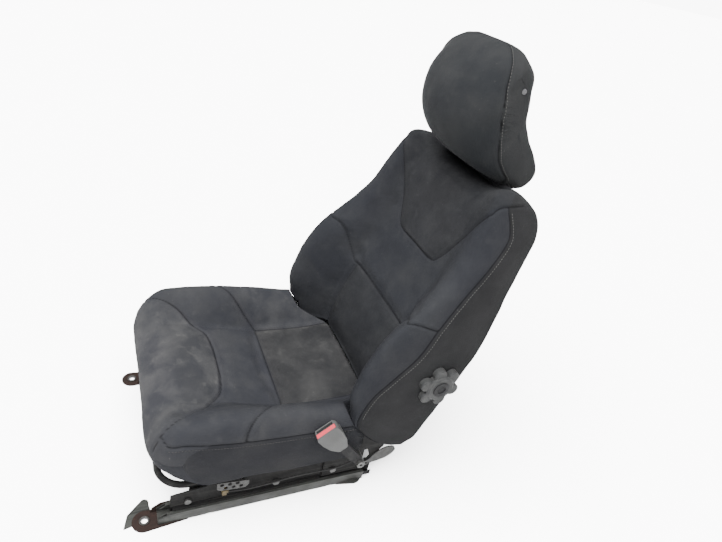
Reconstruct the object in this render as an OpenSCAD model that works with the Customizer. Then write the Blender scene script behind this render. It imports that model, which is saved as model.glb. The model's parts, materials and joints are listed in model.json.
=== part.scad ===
// Adjustable vehicle seat with slide rails, rotary recliner, head restraint and belt buckle.
// X is across the seat (+X is the occupant's left), +Y points rearward, +Z is up.
// The origin is the centre of the four floor bolts, on the floor.

/* [Floor fixing] */
// Distance between the two rails, and between the bolts across the seat
track_w = 420; // [396:1:430]
// Distance between the front and the rear floor bolts
bolt_base = 460; // [430:1:470]
// Radius of a floor bolt hole
bolt_hole_r = 6.5; // [5:0.25:8]
// Outer radius of the steel bush pressed into each foot
bush_r = 10; // [9:0.25:12]
// Height of a bush
bush_h = 5; // [4:0.5:5]
// Radius of the rounded end of a foot
foot_r = 24; // [20:1:28]
// Sheet thickness of the feet
foot_t = 3; // [2:0.25:4]

/* [Slide rails] */
// Length of a lower rail
rail_l = 457; // [440:1:465]
// Width of a lower rail
rail_w = 32; // [30:1:36]
// Height of a lower rail
rail_h = 25; // [23:1:28]
// Sheet thickness of a lower rail
rail_t = 2; // [1.5:0.25:2.5]
// Width of a lower rail's rolled lip
lip_w = 8; // [7:0.5:8.5]
// Length of an upper rail
upper_l = 452; // [440:1:460]
// Thickness of an upper rail's web
web_t = 5; // [4:0.5:6]
// Height of an upper rail's web over the lower rail
web_h = 34; // [30:1:38]
// Radius of a rail roller
roller_r = 2.35; // [2:0.05:2.6]
// Gap between a sliding piece and what it slides on
slide_gap = 0.3; // [0.25:0.05:0.6]
// Gap of a pin or shaft that turns in a bore
run_gap = 0.05; // [0.03:0.01:0.08]

/* [Slide lock] */
// Radius of the release bar's tube
bar_r = 7; // [6:0.5:8]
// Height of the release bar's centre line
bar_z = 85; // [82:1:88]
// Bend radius of the release bar's corners
bar_bend = 56; // [45:1:60]
// Distance between the lock's pivot and the front of the release bar
bar_l = 170; // [160:1:180]
// Sheet thickness of the lock levers
lever_t = 3; // [2:0.5:3]
// Number of lock teeth on a lever
tooth_n = 3; // [2:1:4]
// Distance from one lock tooth to the next
tooth_pitch = 14; // [12:0.5:16]

/* [Seat base] */
// Sheet thickness of the side frames
side_t = 3; // [2:0.5:3]
// Height of the seat pan's front edge
pan_front_z = 166; // [155:1:170]
// Height of the seat pan's rear edge
pan_rear_z = 137; // [132:1:142]
// Thickness of the seat pan
pan_t = 2; // [1.5:0.25:2.5]
// Radius of the cross tubes
tube_r = 11; // [9:0.5:12]

/* [Seat cushion] */
// Width of the seat cushion at its side seams
seat_w = 486; // [474:1:496]
// Length of the seat cushion from its nose to the back
seat_l = 486; // [470:1:500]
// Height of the seat cushion's nose
nose_z = 195; // [185:1:205]
// Height of the cushion's middle panel at its lowest
seat_z = 189; // [186:1:196]
// How far the seat bolsters stand over the middle panel
seat_bolster = 80; // [60:1:90]
// Height of the skirt's lower edge
skirt_z = 104; // [102:1:112]
// How far the skirt draws in from the seam to its lower edge
skirt_in = 9; // [6:1:12]
// Width of the middle panel between the bolsters
insert_w = 260; // [240:1:280]

/* [Backrest] */
// Distance of the backrest hinge behind the floor bolts' centre
hinge_y = 353; // [348:1:358]
// Height of the backrest hinge
hinge_z = 319; // [314:1:323]
// Angle of the backrest behind the vertical
recline = 21; // [15:1:27]
// Width of the backrest at the hinge
back_w = 500; // [496:1:516]
// Height of the backrest over its datum, the frame's middle just behind the hinge
back_h = 430; // [415:1:445]
// How far the hinge lies before the datum
hinge_n = 25; // [23:0.5:27]
// How far the hinge lies over the datum
hinge_v = 15; // [12:0.5:18]
// How far the backrest's front stands before the datum
face_n = 76; // [72:1:82]
// How far the backrest's bolsters stand before the datum
bolster_n = 192; // [184:1:198]
// How far the rear of the padding lies behind the datum
rear_n = 28; // [27:1:34]
// Radius of the padding's lower edge about the hinge, between the bolsters
end_r_in = 155; // [150:1:158]
// Radius of the padding's lower edge about the hinge, at the sides
end_r_out = 193; // [188:1:196]
// Gap between the padding of the seat and that of the backrest
pad_gap = 2; // [1:0.5:4]
// Depth of the hollow for the frame, before the datum
hollow_n = 38; // [37:1:42]
// Sheet thickness of the rear panel
panel_t = 3; // [2:0.5:4]

/* [Recliner] */
// Sheet thickness of the hinge brackets
bracket_t = 4; // [3:0.5:4]
// Radius of the hinge brackets' round ends
bracket_r = 50; // [46:1:52]
// Radius of a recliner's gear housing
gear_r = 36; // [32:1:40]
// Thickness of a recliner's gear housing
gear_t = 11.7; // [10:0.1:12]
// Radius of the shaft between the recliners
shaft_r = 6; // [5:0.25:7]
// Radius of the recliner knob over its grips
knob_r = 49; // [45:1:52]
// Thickness of the recliner knob
knob_t = 22; // [18:1:26]
// Number of grips on the knob
knob_n = 6; // [5:1:8]

/* [Head restraint] */
// Width of the head restraint
head_w = 250; // [235:1:265]
// Height of the head restraint
head_h = 229; // [215:1:240]
// Distance between the posts
post_w = 140; // [120:1:150]
// Radius of a post
post_r = 6; // [5:0.25:6.5]
// How far the posts stand before the backrest's datum
post_n = 23; // [22:0.5:24]
// Length of a post below the head restraint
post_l = 160; // [150:1:165]
// Gap between the head restraint and the backrest's top
head_gap = 3; // [2:0.5:6]
// Radius of the release button
button_r = 5; // [4:0.25:6]

/* [Belt buckle] */
// Length of the stalk from its bolt to the buckle
stalk_l = 88; // [78:1:95]
// Width of the stalk's strap
stalk_w = 19; // [17:1:22]
// Angle of the stalk before the vertical
stalk_tilt = 38; // [34:1:42]
// Length of the buckle
buckle_l = 76; // [72:1:90]
// Width of the buckle at its mouth
buckle_w = 50; // [46:1:54]
// Thickness of the buckle
buckle_t = 22; // [20:1:24]
// Width of the slot for the tongue
slot_w = 38; // [34:1:40]
// Thickness of the slot for the tongue
slot_t = 6; // [5:0.5:7]

/* [Hidden] */

touch = 0.01;
round_fn = 48;
fine_fn = 24;

// Rails
rail_x = track_w / 2;
rail_z = foot_t;
rail_top = rail_z + rail_h;
rail_front = -bolt_base / 2 + foot_r + 1;
upper_front = rail_front + 25;
upper_rear = upper_front + upper_l;
flange_z = rail_z + rail_t + 2 * roller_r + slide_gap;
flange_t = 2;
hook_z = flange_z + 12;
lip_z = flange_z + 9;
web_top = rail_top + web_h;
side_x = rail_x + web_t / 2;
side_z = rail_top + 4;

// Hinge stack, from the side frame outward and inward
bracket_x = side_x + side_t;
gear_x = bracket_x - slide_gap - gear_t;
plate_x = gear_x - side_t;
slot_out = bracket_x + bracket_t + 1.5;
slot_in = plate_x - 2.5;
hollow_x = plate_x + side_t + 1.5;

// Slide lock
pivot_y = -30;
bar_front = pivot_y - bar_l;
bar_x = side_x - 2.5 - bar_r;
lever_x = bar_x - bar_r - lever_t;
pivot_r = 4;
tooth_w = 7;
tooth_y = pivot_y - 105;

// Seat cushion
seat_hw = seat_w / 2;
insert_hw = insert_w / 2;
seat_end = hinge_y - 89;
nose_y = seat_end - seat_l;
corner_r = 63;
nose_round = 55;
side_short = 48;
gap_lead = 5;
hollow_hw = bracket_x + bracket_t + 2.5;
pan_front = nose_y + 48;
pan_rear = hinge_y - 117;
pan_slope = (pan_rear_z - pan_front_z) / (pan_rear - pan_front);

// Backrest
back_hw = back_w / 2;
top_drop = 16;
back_top = back_h - top_drop;
crown_n = 45;
front_round = 28;
rear_round = 75;
member_top = back_h - 80;
member_knee = 110;
member_w = 22;
member_lean = 38;
member_n0 = -24;
member_n1 = 6;
top_tube_v = member_top + tube_r;
top_tube_n = post_n - 13 - tube_r;

// Recliner drive
knob_x = back_hw + 1;

// Head restraint
guide_r = post_r + 4;
guide_flange = 4;
head_v = back_top + guide_flange + head_gap;
post_in = 62;
button_n = 155;
button_v = 0.74;
button_x = head_w / 2 - 4;

// Belt buckle
anchor_y = hinge_y - 140;
anchor_z = 110;
anchor_r = 6;
stalk_t = 4;
stalk_x = seat_hw + 11;
buckle_x = stalk_x + stalk_t / 2 - buckle_t / 2;

// ---------------------------------------------------------------- helpers

function mix(a, b, t) = a + (b - a) * t;
function clamp(t, lo, hi) = max(lo, min(hi, t));
function smooth(a, b, t) = let (u = clamp((t - a) / (b - a), 0, 1)) u * u * (3 - 2 * u);
function quarter(t) = sqrt(max(0, 1 - pow(1 - clamp(t, 0, 1), 2)));
function oval(t, p) = pow(max(0, 1 - pow(min(abs(t), 1), p)), 1 / p);

// Slope of a smooth curve through the knots [place, value] at knot i
function slope(k, i) =
    let (a = max(i - 1, 0), b = min(i + 1, len(k) - 1))
    (k[b][1] - k[a][1]) / (k[b][0] - k[a][0]);

// Value of the smooth curve through the knots at place v
function along(k, v) =
    let (
        w = clamp(v, k[0][0], k[len(k) - 1][0]),
        i = max([for (j = [0:len(k) - 2]) if (w >= k[j][0]) j]),
        h = k[i + 1][0] - k[i][0],
        t = (w - k[i][0]) / h)
    k[i][1] * (2 * t * t * t - 3 * t * t + 1) + h * slope(k, i) * (t * t * t - 2 * t * t + t)
    + k[i + 1][1] * (3 * t * t - 2 * t * t * t) + h * slope(k, i + 1) * (t * t * t - t * t);

// Closed form through rings of the same count. Each ring is a row and then the opposite row
// in reverse, so the two end caps are strips between the rows.
module loft(rings) {
    n = len(rings[0]);
    m = len(rings);
    half = n / 2;
    last = (m - 1) * n;
    polyhedron(
        points = [for (r = rings) each r],
        faces = [
            for (i = [0:m - 2], j = [0:n - 1])
                let (a = i * n + j, b = i * n + (j + 1) % n)
                each [[a, b + n, b], [a, a + n, b + n]],
            for (j = [0:half - 2])
                each [[j + 1, n - 1 - j, j], [j + 1, n - 2 - j, n - 1 - j]],
            for (j = [0:half - 2])
                each [[last + j, last + n - 1 - j, last + j + 1],
                      [last + j + 1, last + n - 1 - j, last + n - 2 - j]]],
        convexity = 8);
}

// Fractions of a half width where a soft form is sampled, dense over its bolster
half_steps = [0.18, 0.36, 0.53, 0.63, 0.73, 0.82, 0.89, 0.94, 0.975, 1];
steps = concat([for (i = [9:-1:0]) -half_steps[i]], [0], half_steps);

// Plate of thickness t in the Y-Z plane, from x outward
module plate(x, t) {
    translate([x, 0, 0]) rotate([90, 0, 90]) linear_extrude(t) children();
}

// Round bar along X between two places
module bar(x0, x1, r) {
    translate([x0, 0, 0]) rotate([0, 90, 0]) cylinder(h = x1 - x0, r = r, $fn = round_fn);
}

module at_hinge() {
    translate([0, hinge_y, hinge_z]) children();
}

// The backrest's own frame at its datum: x across, y up the backrest, z out of its front
module in_back() {
    at_hinge() rotate([90 - recline, 0, 0]) translate([0, -hinge_v, -hinge_n]) children();
}

// The same axes, at the hinge
module at_pivot() {
    at_hinge() rotate([90 - recline, 0, 0]) children();
}

// A piece on the left, or its mirror image on the right
module on_side(left) {
    mirror([left ? 0 : 1, 0, 0]) children();
}

// ---------------------------------------------------------------- floor side

module lower_section() {
    hw = rail_w / 2;
    in = hw - rail_t;
    slot = hw - lip_w;
    polygon([[-hw, 0], [hw, 0], [hw, rail_h], [slot, rail_h], [slot, lip_z - rail_z],
             [slot + rail_t, lip_z - rail_z], [slot + rail_t, rail_h - rail_t],
             [in, rail_h - rail_t], [in, rail_t], [-in, rail_t], [-in, rail_h - rail_t],
             [-slot - rail_t, rail_h - rail_t], [-slot - rail_t, lip_z - rail_z],
             [-slot, lip_z - rail_z], [-slot, rail_h], [-hw, rail_h]]);
}

module lower_rail(left) {
    window_n = 12;
    color("gray") on_side(left) difference() {
        translate([rail_x, rail_front + rail_l, rail_z]) rotate([90, 0, 0])
            linear_extrude(rail_l) lower_section();
        translate([rail_x, bolt_base / 2, 0])
            cylinder(h = rail_z + rail_t + 1, r = bush_r + 3, $fn = round_fn);
        for (i = [0:window_n - 1])
            translate([rail_x - rail_w / 2 + rail_t, tooth_y + i * tooth_pitch, rail_top - rail_t - 1])
                cube([lip_w - 2 * rail_t, tooth_w, rail_t + 2]);
        for (y = [rail_front + 95, rail_front + rail_l - 90])
            translate([rail_x - rail_w, y, rail_z - 1]) cube([2 * rail_w, 12, rail_t]);
        plate(rail_x - rail_w, 2 * rail_w)
            polygon([[rail_front - 1, rail_z + rail_h * 0.5], [rail_front + 22, rail_top + 1],
                     [rail_front - 1, rail_top + 1]]);
    }
}

module lower_rail_left() lower_rail(true);
module lower_rail_right() lower_rail(false);

module foot_outline(y, inward, reach) {
    hull() {
        translate([0, y]) circle(r = foot_r, $fn = round_fn);
        translate([-rail_w / 2, y + inward * reach - 4]) square([rail_w, 8]);
    }
}

module front_foot(left) {
    wall_x = -rail_w / 2 - 0.2;
    wall_t = foot_t - 0.5;
    wall_y = -bolt_base / 2 + foot_r;
    wall_z = rail_top - 0.5;
    color("sienna") on_side(left) translate([rail_x, 0, 0]) {
        difference() {
            linear_extrude(foot_t) foot_outline(-bolt_base / 2, 1, 80);
            translate([0, -bolt_base / 2, -1]) cylinder(h = foot_t + 2, r = bush_r, $fn = round_fn);
        }
        plate(wall_x - wall_t, wall_t)
            polygon([[wall_y - 12, foot_t - touch], [wall_y - 8, wall_z - 12], [wall_y + 8, wall_z - 1],
                     [wall_y + 24, wall_z], [wall_y + 42, wall_z], [wall_y + 54, foot_t - touch]]);
    }
}

module front_foot_left() front_foot(true);
module front_foot_right() front_foot(false);

module rear_foot(left) {
    color("dimgray") on_side(left) translate([rail_x, 0, 0]) difference() {
        linear_extrude(foot_t) foot_outline(bolt_base / 2, -1, 40);
        translate([0, bolt_base / 2, -1]) cylinder(h = foot_t + 2, r = bush_r, $fn = round_fn);
    }
}

module rear_foot_left() rear_foot(true);
module rear_foot_right() rear_foot(false);

module foot_bushes() {
    color("silver") for (x = [-rail_x, rail_x], y = [-bolt_base / 2, bolt_base / 2])
        translate([x, y, 0]) difference() {
            cylinder(h = bush_h, r = bush_r, $fn = round_fn);
            translate([0, 0, -1]) cylinder(h = bush_h + 2, r = bolt_hole_r, $fn = round_fn);
        }
}

// Flat lobe beside the left front foot, reaching inward and forward on the floor
module foot_tab() {
    lobe_t = 2;
    lobe_r = 9;
    color("darkgray") translate([rail_x, -bolt_base / 2, 0]) linear_extrude(lobe_t) difference() {
        polygon([[8, -foot_r - 16], [-22, -foot_r - 8], [-foot_r - 27, -2],
                 for (a = [195:-25:70]) [-foot_r - 19 + lobe_r * cos(a), 2 + lobe_r * sin(a)],
                 [-foot_r - 0.5, lobe_r + 4], [-foot_r - 0.5, 0], [0, 0]]);
        circle(r = foot_r, $fn = round_fn);
    }
}

// ---------------------------------------------------------------- sliding seat base

module upper_section() {
    hw = web_t / 2;
    reach = rail_w / 2 - rail_t - 1;
    base = flange_z;
    polygon([[-reach, base], [reach, base], [reach, hook_z], [reach - flange_t, hook_z],
             [reach - flange_t, base + flange_t], [hw, base + flange_t], [hw, web_top],
             [-hw, web_top], [-hw, base + flange_t], [-reach + flange_t, base + flange_t],
             [-reach + flange_t, hook_z], [-reach, hook_z]]);
}

module upper_rail(left) {
    color("#2b2b2d") on_side(left) difference() {
        translate([rail_x, upper_rear, 0]) rotate([90, 0, 0]) linear_extrude(upper_l) upper_section();
        translate([0, upper_rear, web_top]) plate(0, 2 * rail_x)
            polygon([[1, 1], [-36, 1], [1, -28]]);
    }
}

module upper_rail_left() upper_rail(true);
module upper_rail_right() upper_rail(false);

module rail_rollers() {
    roller_l = 18;
    color("silver") for (x = [-rail_x, rail_x], t = [0.3, 0.4, 0.5, 0.6])
        translate([x - roller_l / 2, mix(upper_front, upper_rear, t), flange_z - roller_r])
            rotate([0, 90, 0]) cylinder(h = roller_l, r = roller_r, $fn = fine_fn);
}

front_bolt_y = upper_front + 34;
mid_bolt_y = 40;
front_riser_z = 128;
ledge_w = 6;
ledge_end = anchor_y - 70;

module side_outline() {
    polygon([[upper_front + 4, side_z], [upper_rear - 14, side_z], [upper_rear - 4, side_z + 12],
             [upper_rear - 4, web_top + 2], [upper_rear + 22, web_top + 31],
             [upper_rear + 30, web_top + 57], [upper_rear - 12, web_top + 60],
             [upper_rear - 22, web_top + 45], [upper_rear - 9, web_top + 7],
             [upper_rear - 14, web_top - 2], [upper_rear - 26, web_top - 2],
             [upper_rear - 26, pan_rear_z - 26], [pan_rear - 4, pan_rear_z - 8],
             [mid_bolt_y, pan_rear_z - 14], [front_tube_y + 30, front_riser_z],
             [front_tube_y - 10, front_riser_z], [front_tube_y - 18, web_top + 20],
             [upper_front, web_top + 10], [upper_front, side_z + 6]]);
}

module side_frame(left) {
    color("#232325") on_side(left) {
        plate(side_x, side_t) side_outline();
        plate(side_x + side_t - touch, ledge_w)
            translate([upper_front + 4, side_z]) square([ledge_end - upper_front - 4, side_t]);
    }
}

module side_frame_left() side_frame(true);
module side_frame_right() side_frame(false);

// Bolts that hold the side frames and the hinge brackets to the upper rails
module frame_bolts() {
    head_r = 7;
    head_h = 5;
    color("gray") for (left = [true, false]) on_side(left) {
        for (y = [front_bolt_y, mid_bolt_y])
            translate([0, y, web_top - 14]) bar(side_x + side_t, side_x + side_t + head_h, head_r);
        for (y = [anchor_y - 42, anchor_y + 24])
            translate([0, y, web_top - 8])
                bar(bracket_x + bracket_t, bracket_x + bracket_t + head_h, head_r);
    }
}

front_tube_y = pan_front + 84;
front_tube_z = front_riser_z - 13;

module front_cross_tube() {
    color("#232325") translate([0, front_tube_y, front_tube_z]) bar(-side_x, side_x, tube_r);
}

rear_tube_y = pan_rear - 6;
rear_tube_z = pan_rear_z - 8 - tube_r - 4;

module rear_cross_tube() {
    color("#232325") translate([0, rear_tube_y, rear_tube_z]) bar(-side_x, side_x, tube_r);
}

function pan_z(y) = pan_front_z + (y - pan_front) * pan_slope;

// Pressed pan under the front half of the cushion, with its legs down to the front tube
pan_mid = mix(pan_front, pan_rear, 0.52);

module seat_pan() {
    hw = side_x - 1;
    color("#3a3a3c") {
        plate(-hw, 2 * hw)
            polygon([[pan_front, pan_z(pan_front) - pan_t], [pan_mid, pan_z(pan_mid) - pan_t],
                     [pan_mid, pan_z(pan_mid)], [pan_front, pan_z(pan_front)]]);
        for (x = [-0.6, 0.6])
            plate(x * hw - 10, 20) difference() {
                polygon([[front_tube_y - 16, front_tube_z + 6], [front_tube_y + 16, front_tube_z + 6],
                         [front_tube_y + 16, pan_z(front_tube_y + 16) - pan_t],
                         [front_tube_y - 16, pan_z(front_tube_y - 16) - pan_t]]);
                translate([front_tube_y, front_tube_z]) circle(r = tube_r, $fn = round_fn);
            }
    }
}

// Wires that carry the cushion from the pan's rear edge to the rear tube
module suspension_wires() {
    wire_r = 2;
    wire_z = rear_tube_z + tube_r + wire_r;
    run = rear_tube_y - pan_mid;
    drop = pan_z(pan_mid) - pan_t - slide_gap - wire_r - wire_z;
    cross_x = side_x - 48;
    wire_l = sqrt(run * run + drop * drop);
    color("gray") {
        for (x = [-150:50:150])
            translate([x, rear_tube_y, wire_z]) rotate([90 - atan(drop / run), 0, 0])
                cylinder(h = wire_l + 8, r = wire_r, $fn = fine_fn);
        for (t = [0.4, 0.8])
            translate([0, rear_tube_y - t * run, wire_z + t * drop - 2 * wire_r])
                bar(-cross_x, cross_x, wire_r);
    }
}

// ---------------------------------------------------------------- hinge

// Lower bracket: bolted to the rail, rising behind the cushion to the hinge
module hinge_bracket(left) {
    foot_y0 = anchor_y - 66;
    foot_y1 = upper_rear - 29;
    neck_y = anchor_y + 8;
    color("#1e1e20") on_side(left) difference() {
        plate(bracket_x, bracket_t) {
            polygon([[foot_y0, side_z + 2], [foot_y1, side_z + 2], [foot_y1, anchor_z - 12],
                     [foot_y1 + 38, anchor_z - 8], [hinge_y + bracket_r * 0.88, hinge_z - bracket_r * 0.47],
                     [hinge_y - bracket_r * 0.9, hinge_z - bracket_r * 0.43],
                     [neck_y, anchor_z + 22], [foot_y0, anchor_z - 12]]);
            translate([hinge_y, hinge_z]) circle(r = bracket_r, $fn = 2 * round_fn);
        }
        at_hinge() bar(bracket_x - 1, bracket_x + bracket_t + 1, shaft_r + run_gap);
        translate([0, anchor_y, anchor_z]) bar(bracket_x - 1, bracket_x + bracket_t + 1, anchor_r);
    }
}

module hinge_bracket_left() hinge_bracket(true);
module hinge_bracket_right() hinge_bracket(false);

// Curved arm behind the left bracket that hooks the frame to its floor anchor. Its edges are
// drawn as heights over its foot at places behind the upper rail.
hook_lower = [[-26, 4], [0, 13], [18, 16], [36, 21], [50, 31], [56, 40]];
hook_upper = [[-26, 20], [-10, 26], [-2, 37], [10, 49], [27, 57], [44, 57], [52, 53], [56, 45]];

module rear_hook() {
    arc_n = 24;
    reach = [for (i = [0:arc_n]) mix(hook_lower[0][0], hook_lower[5][0], i / arc_n)];
    color("darkgray") plate(bracket_x, 3) translate([upper_rear, side_z]) difference() {
        polygon([
            for (y = reach) [y, along(hook_lower, y)],
            for (i = [arc_n:-1:0]) [reach[i], along(hook_upper, reach[i])]]);
        translate([-14, 14]) circle(r = 3, $fn = fine_fn);
    }
}

// ---------------------------------------------------------------- wiring

harness_x = bracket_x + 6;

module harness_bracket() {
    strip_h = 25;
    strip_z = web_top + 10;
    strip_x = harness_x + 4;
    hole_r = 4.5;
    color("silver") {
        plate(strip_x, 1.5) difference() {
            polygon([[-90, strip_z + 6], [-82, strip_z], [-32, strip_z - 4], [-24, strip_z + 4],
                     [-24, strip_z + strip_h - 8], [-90, strip_z + strip_h]]);
            for (i = [0:2])
                translate([-80 + 16 * i, strip_z + strip_h - 8 - i]) circle(r = hole_r, $fn = fine_fn);
            for (i = [0:2])
                translate([-72 + 16 * i, strip_z + 6 - i]) circle(r = hole_r, $fn = fine_fn);
        }
        for (y = [-89, -38])
            translate([side_x + side_t, y, strip_z + strip_h - 14])
                cube([strip_x - side_x - side_t + touch, 5, 5]);
    }
}

// Points of the wire along the rail, from the connector to the buckle's bolt
wire_path = [[harness_x, -64.7, web_top - 4], [harness_x, -20, web_top - 10], [harness_x + 1, 30, web_top - 6],
             [harness_x + 3, 80, web_top + 2], [harness_x + 6, 120, web_top + 6],
             [harness_x + 12, 160, web_top + 12], [harness_x + 18, 185, web_top + 26],
             [stalk_x - 8, anchor_y - 13, anchor_z - 4]];
wire_r = 2;
wire_rings = 40;
wire_sides = 8;

function wire_at(t, axis) =
    along([for (i = [0:len(wire_path) - 1]) [i / (len(wire_path) - 1), wire_path[i][axis]]], t);

module harness_wire() {
    color("#141414") loft([
        for (i = [0:wire_rings])
            let (t = i / wire_rings)
            [for (j = [0:wire_sides - 1])
                let (a = -360 * (j + 0.5) / wire_sides)
                [wire_at(t, 0) + wire_r * cos(a), wire_at(t, 1), wire_at(t, 2) + wire_r * sin(a)]]]);
}

module harness_connector() {
    color("goldenrod") translate([side_x + side_t, -78, web_top - 10]) {
        cube([10, 9, 14]);
        translate([2, 9, 3]) cube([6, 4, 8]);
    }
}

// ---------------------------------------------------------------- seat cushion

seat_mid_knots = [[0, 1.26], [0.15, 1.29], [0.34, 1.175], [0.6, 1.02], [0.8, 1.005], [1, 1.055]];
seat_edge_knots = [[0, 1.25], [0.15, 1.25], [0.32, 1.17], [0.46, 1.07], [0.6, 1], [0.8, 0.985], [1, 1.04]];
seat_crest_knots = [[0, 0.96], [0.08, 0.99], [0.18, 1.09], [0.36, 1.09], [0.59, 0.96], [0.73, 0.79],
                    [0.85, 0.68], [1, 0.6]];
seat_seam_knots = [[0, 0.64], [0.19, 0.62], [0.35, 0.48], [0.51, 0.4], [0.67, 0.35], [1, 0.3]];
seat_crest_x = seat_hw - 27;

// Height of the cushion's top at x across and y along
function seat_top(x, y) =
    let (
        f = clamp((y - nose_y) / seat_l, 0, 1),
        ax = abs(x),
        mid = seat_z * along(seat_mid_knots, f),
        edge = seat_z * along(seat_edge_knots, f),
        crest = seat_z + seat_bolster * along(seat_crest_knots, f),
        seam = seat_z + seat_bolster * along(seat_seam_knots, f))
    ax <= insert_hw ? mix(mid, edge, pow(ax / insert_hw, 2))
    : ax <= seat_crest_x ? mix(edge, crest, smooth(insert_hw - 10, seat_crest_x, ax))
    : seam + (crest - seam) * sqrt(max(0, 1 - pow((ax - seat_crest_x) / (seat_hw - seat_crest_x), 2)));

// Radius of the gap between the two pads about the hinge, at x across
function gap_r(x) = mix(end_r_in, end_r_out, smooth(insert_hw, insert_hw + 60, abs(x)));

// Where the cushion ends at the front, and at the rear at height z
function seat_front(x) =
    nose_y + corner_r * (1 - quarter((seat_hw - abs(x)) / corner_r));
function seat_rear(x, z) =
    let (r = gap_r(abs(x) + gap_lead) + pad_gap)
    min(hinge_y - sqrt(max(0, r * r - pow(z - hinge_z, 2))),
        seat_end - side_short * smooth(insert_hw + 20, insert_hw + 70, abs(x)));

// Where the cushion's top meets the gap, found from place y by n steps
function seat_top_end(x, y, n) = n == 0 ? y : seat_top_end(x, seat_rear(x, seat_top(x, y)), n - 1);

function seat_bottom(y) =
    skirt_z + 7 * (1 - smooth(nose_y + 200, nose_y + 310, y)) + 21 * (1 - smooth(nose_y + 30, nose_y + 105, y));

// One ring of the cushion at a share u of its length, its height drawn to its middle by q
function seat_ring(u, q) = [
    for (row = [1, -1], i = [0:len(steps) - 1])
        let (
            s = steps[row > 0 ? i : len(steps) - 1 - i],
            x = s * seat_hw,
            y0 = seat_front(x),
            y1 = row > 0 ? seat_top_end(x, seat_end, 4) : seat_rear(x, seat_bottom(seat_end)),
            y = mix(y0, y1, u),
            k = quarter((y - y0) / nose_round),
            full = row > 0 ? seat_top(x, y) : seat_bottom(y),
            high = nose_z + (full - nose_z) * k,
            middle = (nose_z + seat_bottom(y)) / 2,
            z = mix(middle, high, q))
        [row > 0 ? x : x * (seat_hw - skirt_in) / seat_hw, q < 1 ? seat_rear(x, z) : y, z]];

seat_stations = [0.002, 0.012, 0.03, 0.06, 0.1, 0.15, 0.21, 0.28, 0.35, 0.42, 0.49, 0.56, 0.63, 0.7,
                 0.77, 0.84, 0.9, 0.95, 1];

module seat_form() {
    loft(concat([for (u = seat_stations) seat_ring(u, 1)], [for (q = [0.75, 0.45, 0.15]) seat_ring(1, q)]));
}

module seat_cushion() {
    color("#33353b") difference() {
        seat_form();
        plate(-hollow_hw, 2 * hollow_hw)
            polygon([[pan_front - 6, skirt_z - 20], [hinge_y, skirt_z - 20], [hinge_y, pan_z(pan_rear)],
                     [pan_rear, pan_z(pan_rear)], [pan_front, pan_front_z],
                     [pan_front - 6, pan_front_z - 4]]);
        translate([hollow_hw - touch, anchor_y - 14, skirt_z - 20]) cube([40, 60, anchor_z + 34 - skirt_z]);
    }
}

// ---------------------------------------------------------------- slide lock

module release_bar() {
    inner = bar_x - bar_bend;
    leg_l = bar_l - bar_bend - 20;
    color("#202022") {
        translate([0, bar_front, bar_z]) bar(-inner, inner, bar_r);
        for (left = [true, false]) on_side(left) {
            translate([inner, bar_front + bar_bend, bar_z]) rotate([0, 0, -90])
                rotate_extrude(angle = 90, $fn = 2 * round_fn)
                    translate([bar_bend, 0]) circle(r = bar_r, $fn = round_fn);
            translate([bar_x, bar_front + bar_bend, bar_z]) rotate([-90, 0, 0])
                cylinder(h = leg_l, r = bar_r, $fn = round_fn);
        }
    }
}

module lock_lever(left) {
    tip_z = rail_top + slide_gap + 0.5;
    span = (tooth_n - 1) * tooth_pitch + tooth_w;
    color("dimgray") on_side(left) difference() {
        plate(lever_x, lever_t) {
            polygon([[pivot_y + 12, bar_z - 12], [pivot_y + 12, bar_z + 6], [tooth_y - 6, bar_z + 6],
                     [tooth_y - 6, tip_z + 8], [tooth_y + span + 6, tip_z + 8],
                     [tooth_y + span + 14, bar_z - 12]]);
            for (i = [0:tooth_n - 1])
                translate([tooth_y + i * tooth_pitch + 0.5, tip_z])
                    square([tooth_w - 1, 8 + touch]);
        }
        translate([0, pivot_y, bar_z]) bar(lever_x - 1, lever_x + lever_t + 1, pivot_r + run_gap);
    }
}

module lock_lever_left() lock_lever(true);
module lock_lever_right() lock_lever(false);

module lock_pivots() {
    color("silver") for (left = [true, false]) on_side(left) translate([0, pivot_y, bar_z]) {
        bar(lever_x - 4, side_x, pivot_r);
        bar(lever_x - 4, lever_x - slide_gap, pivot_r + 3);
    }
}

// ---------------------------------------------------------------- backrest frame

module back_plate(left) {
    color("#1e1e20") on_side(left) difference() {
        union() {
            at_pivot() plate(plate_x, side_t) circle(r = bracket_r - 4, $fn = 2 * round_fn);
            in_back() plate(plate_x, side_t)
                polygon([[hinge_v, member_n0], [member_knee, member_n0], [member_knee, hollow_n - 8],
                         [60, hollow_n - 2], [hinge_v + 36, hinge_n + 20]]);
        }
        at_hinge() bar(plate_x - 1, plate_x + side_t + 1, shaft_r + run_gap);
    }
}

module back_plate_left() back_plate(true);
module back_plate_right() back_plate(false);

module back_member(left) {
    color("#262628") on_side(left) in_back() translate([0, 0, member_n0])
        linear_extrude(member_n1 - member_n0)
            polygon([[plate_x, hinge_v], [plate_x, member_knee], [plate_x - member_lean, member_top],
                     [plate_x - member_lean - member_w, member_top], [plate_x - member_w, member_knee],
                     [plate_x - member_w, hinge_v]]);
}

module back_member_left() back_member(true);
module back_member_right() back_member(false);

module back_top_tube() {
    reach = plate_x - member_lean;
    color("#262628") in_back() translate([0, top_tube_v, top_tube_n]) bar(-reach, reach, tube_r);
}

module back_lower_cross() {
    reach = plate_x - member_w;
    color("#262628") in_back() translate([-reach, 26, member_n0]) cube([2 * reach, 34, 14]);
}

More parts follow.
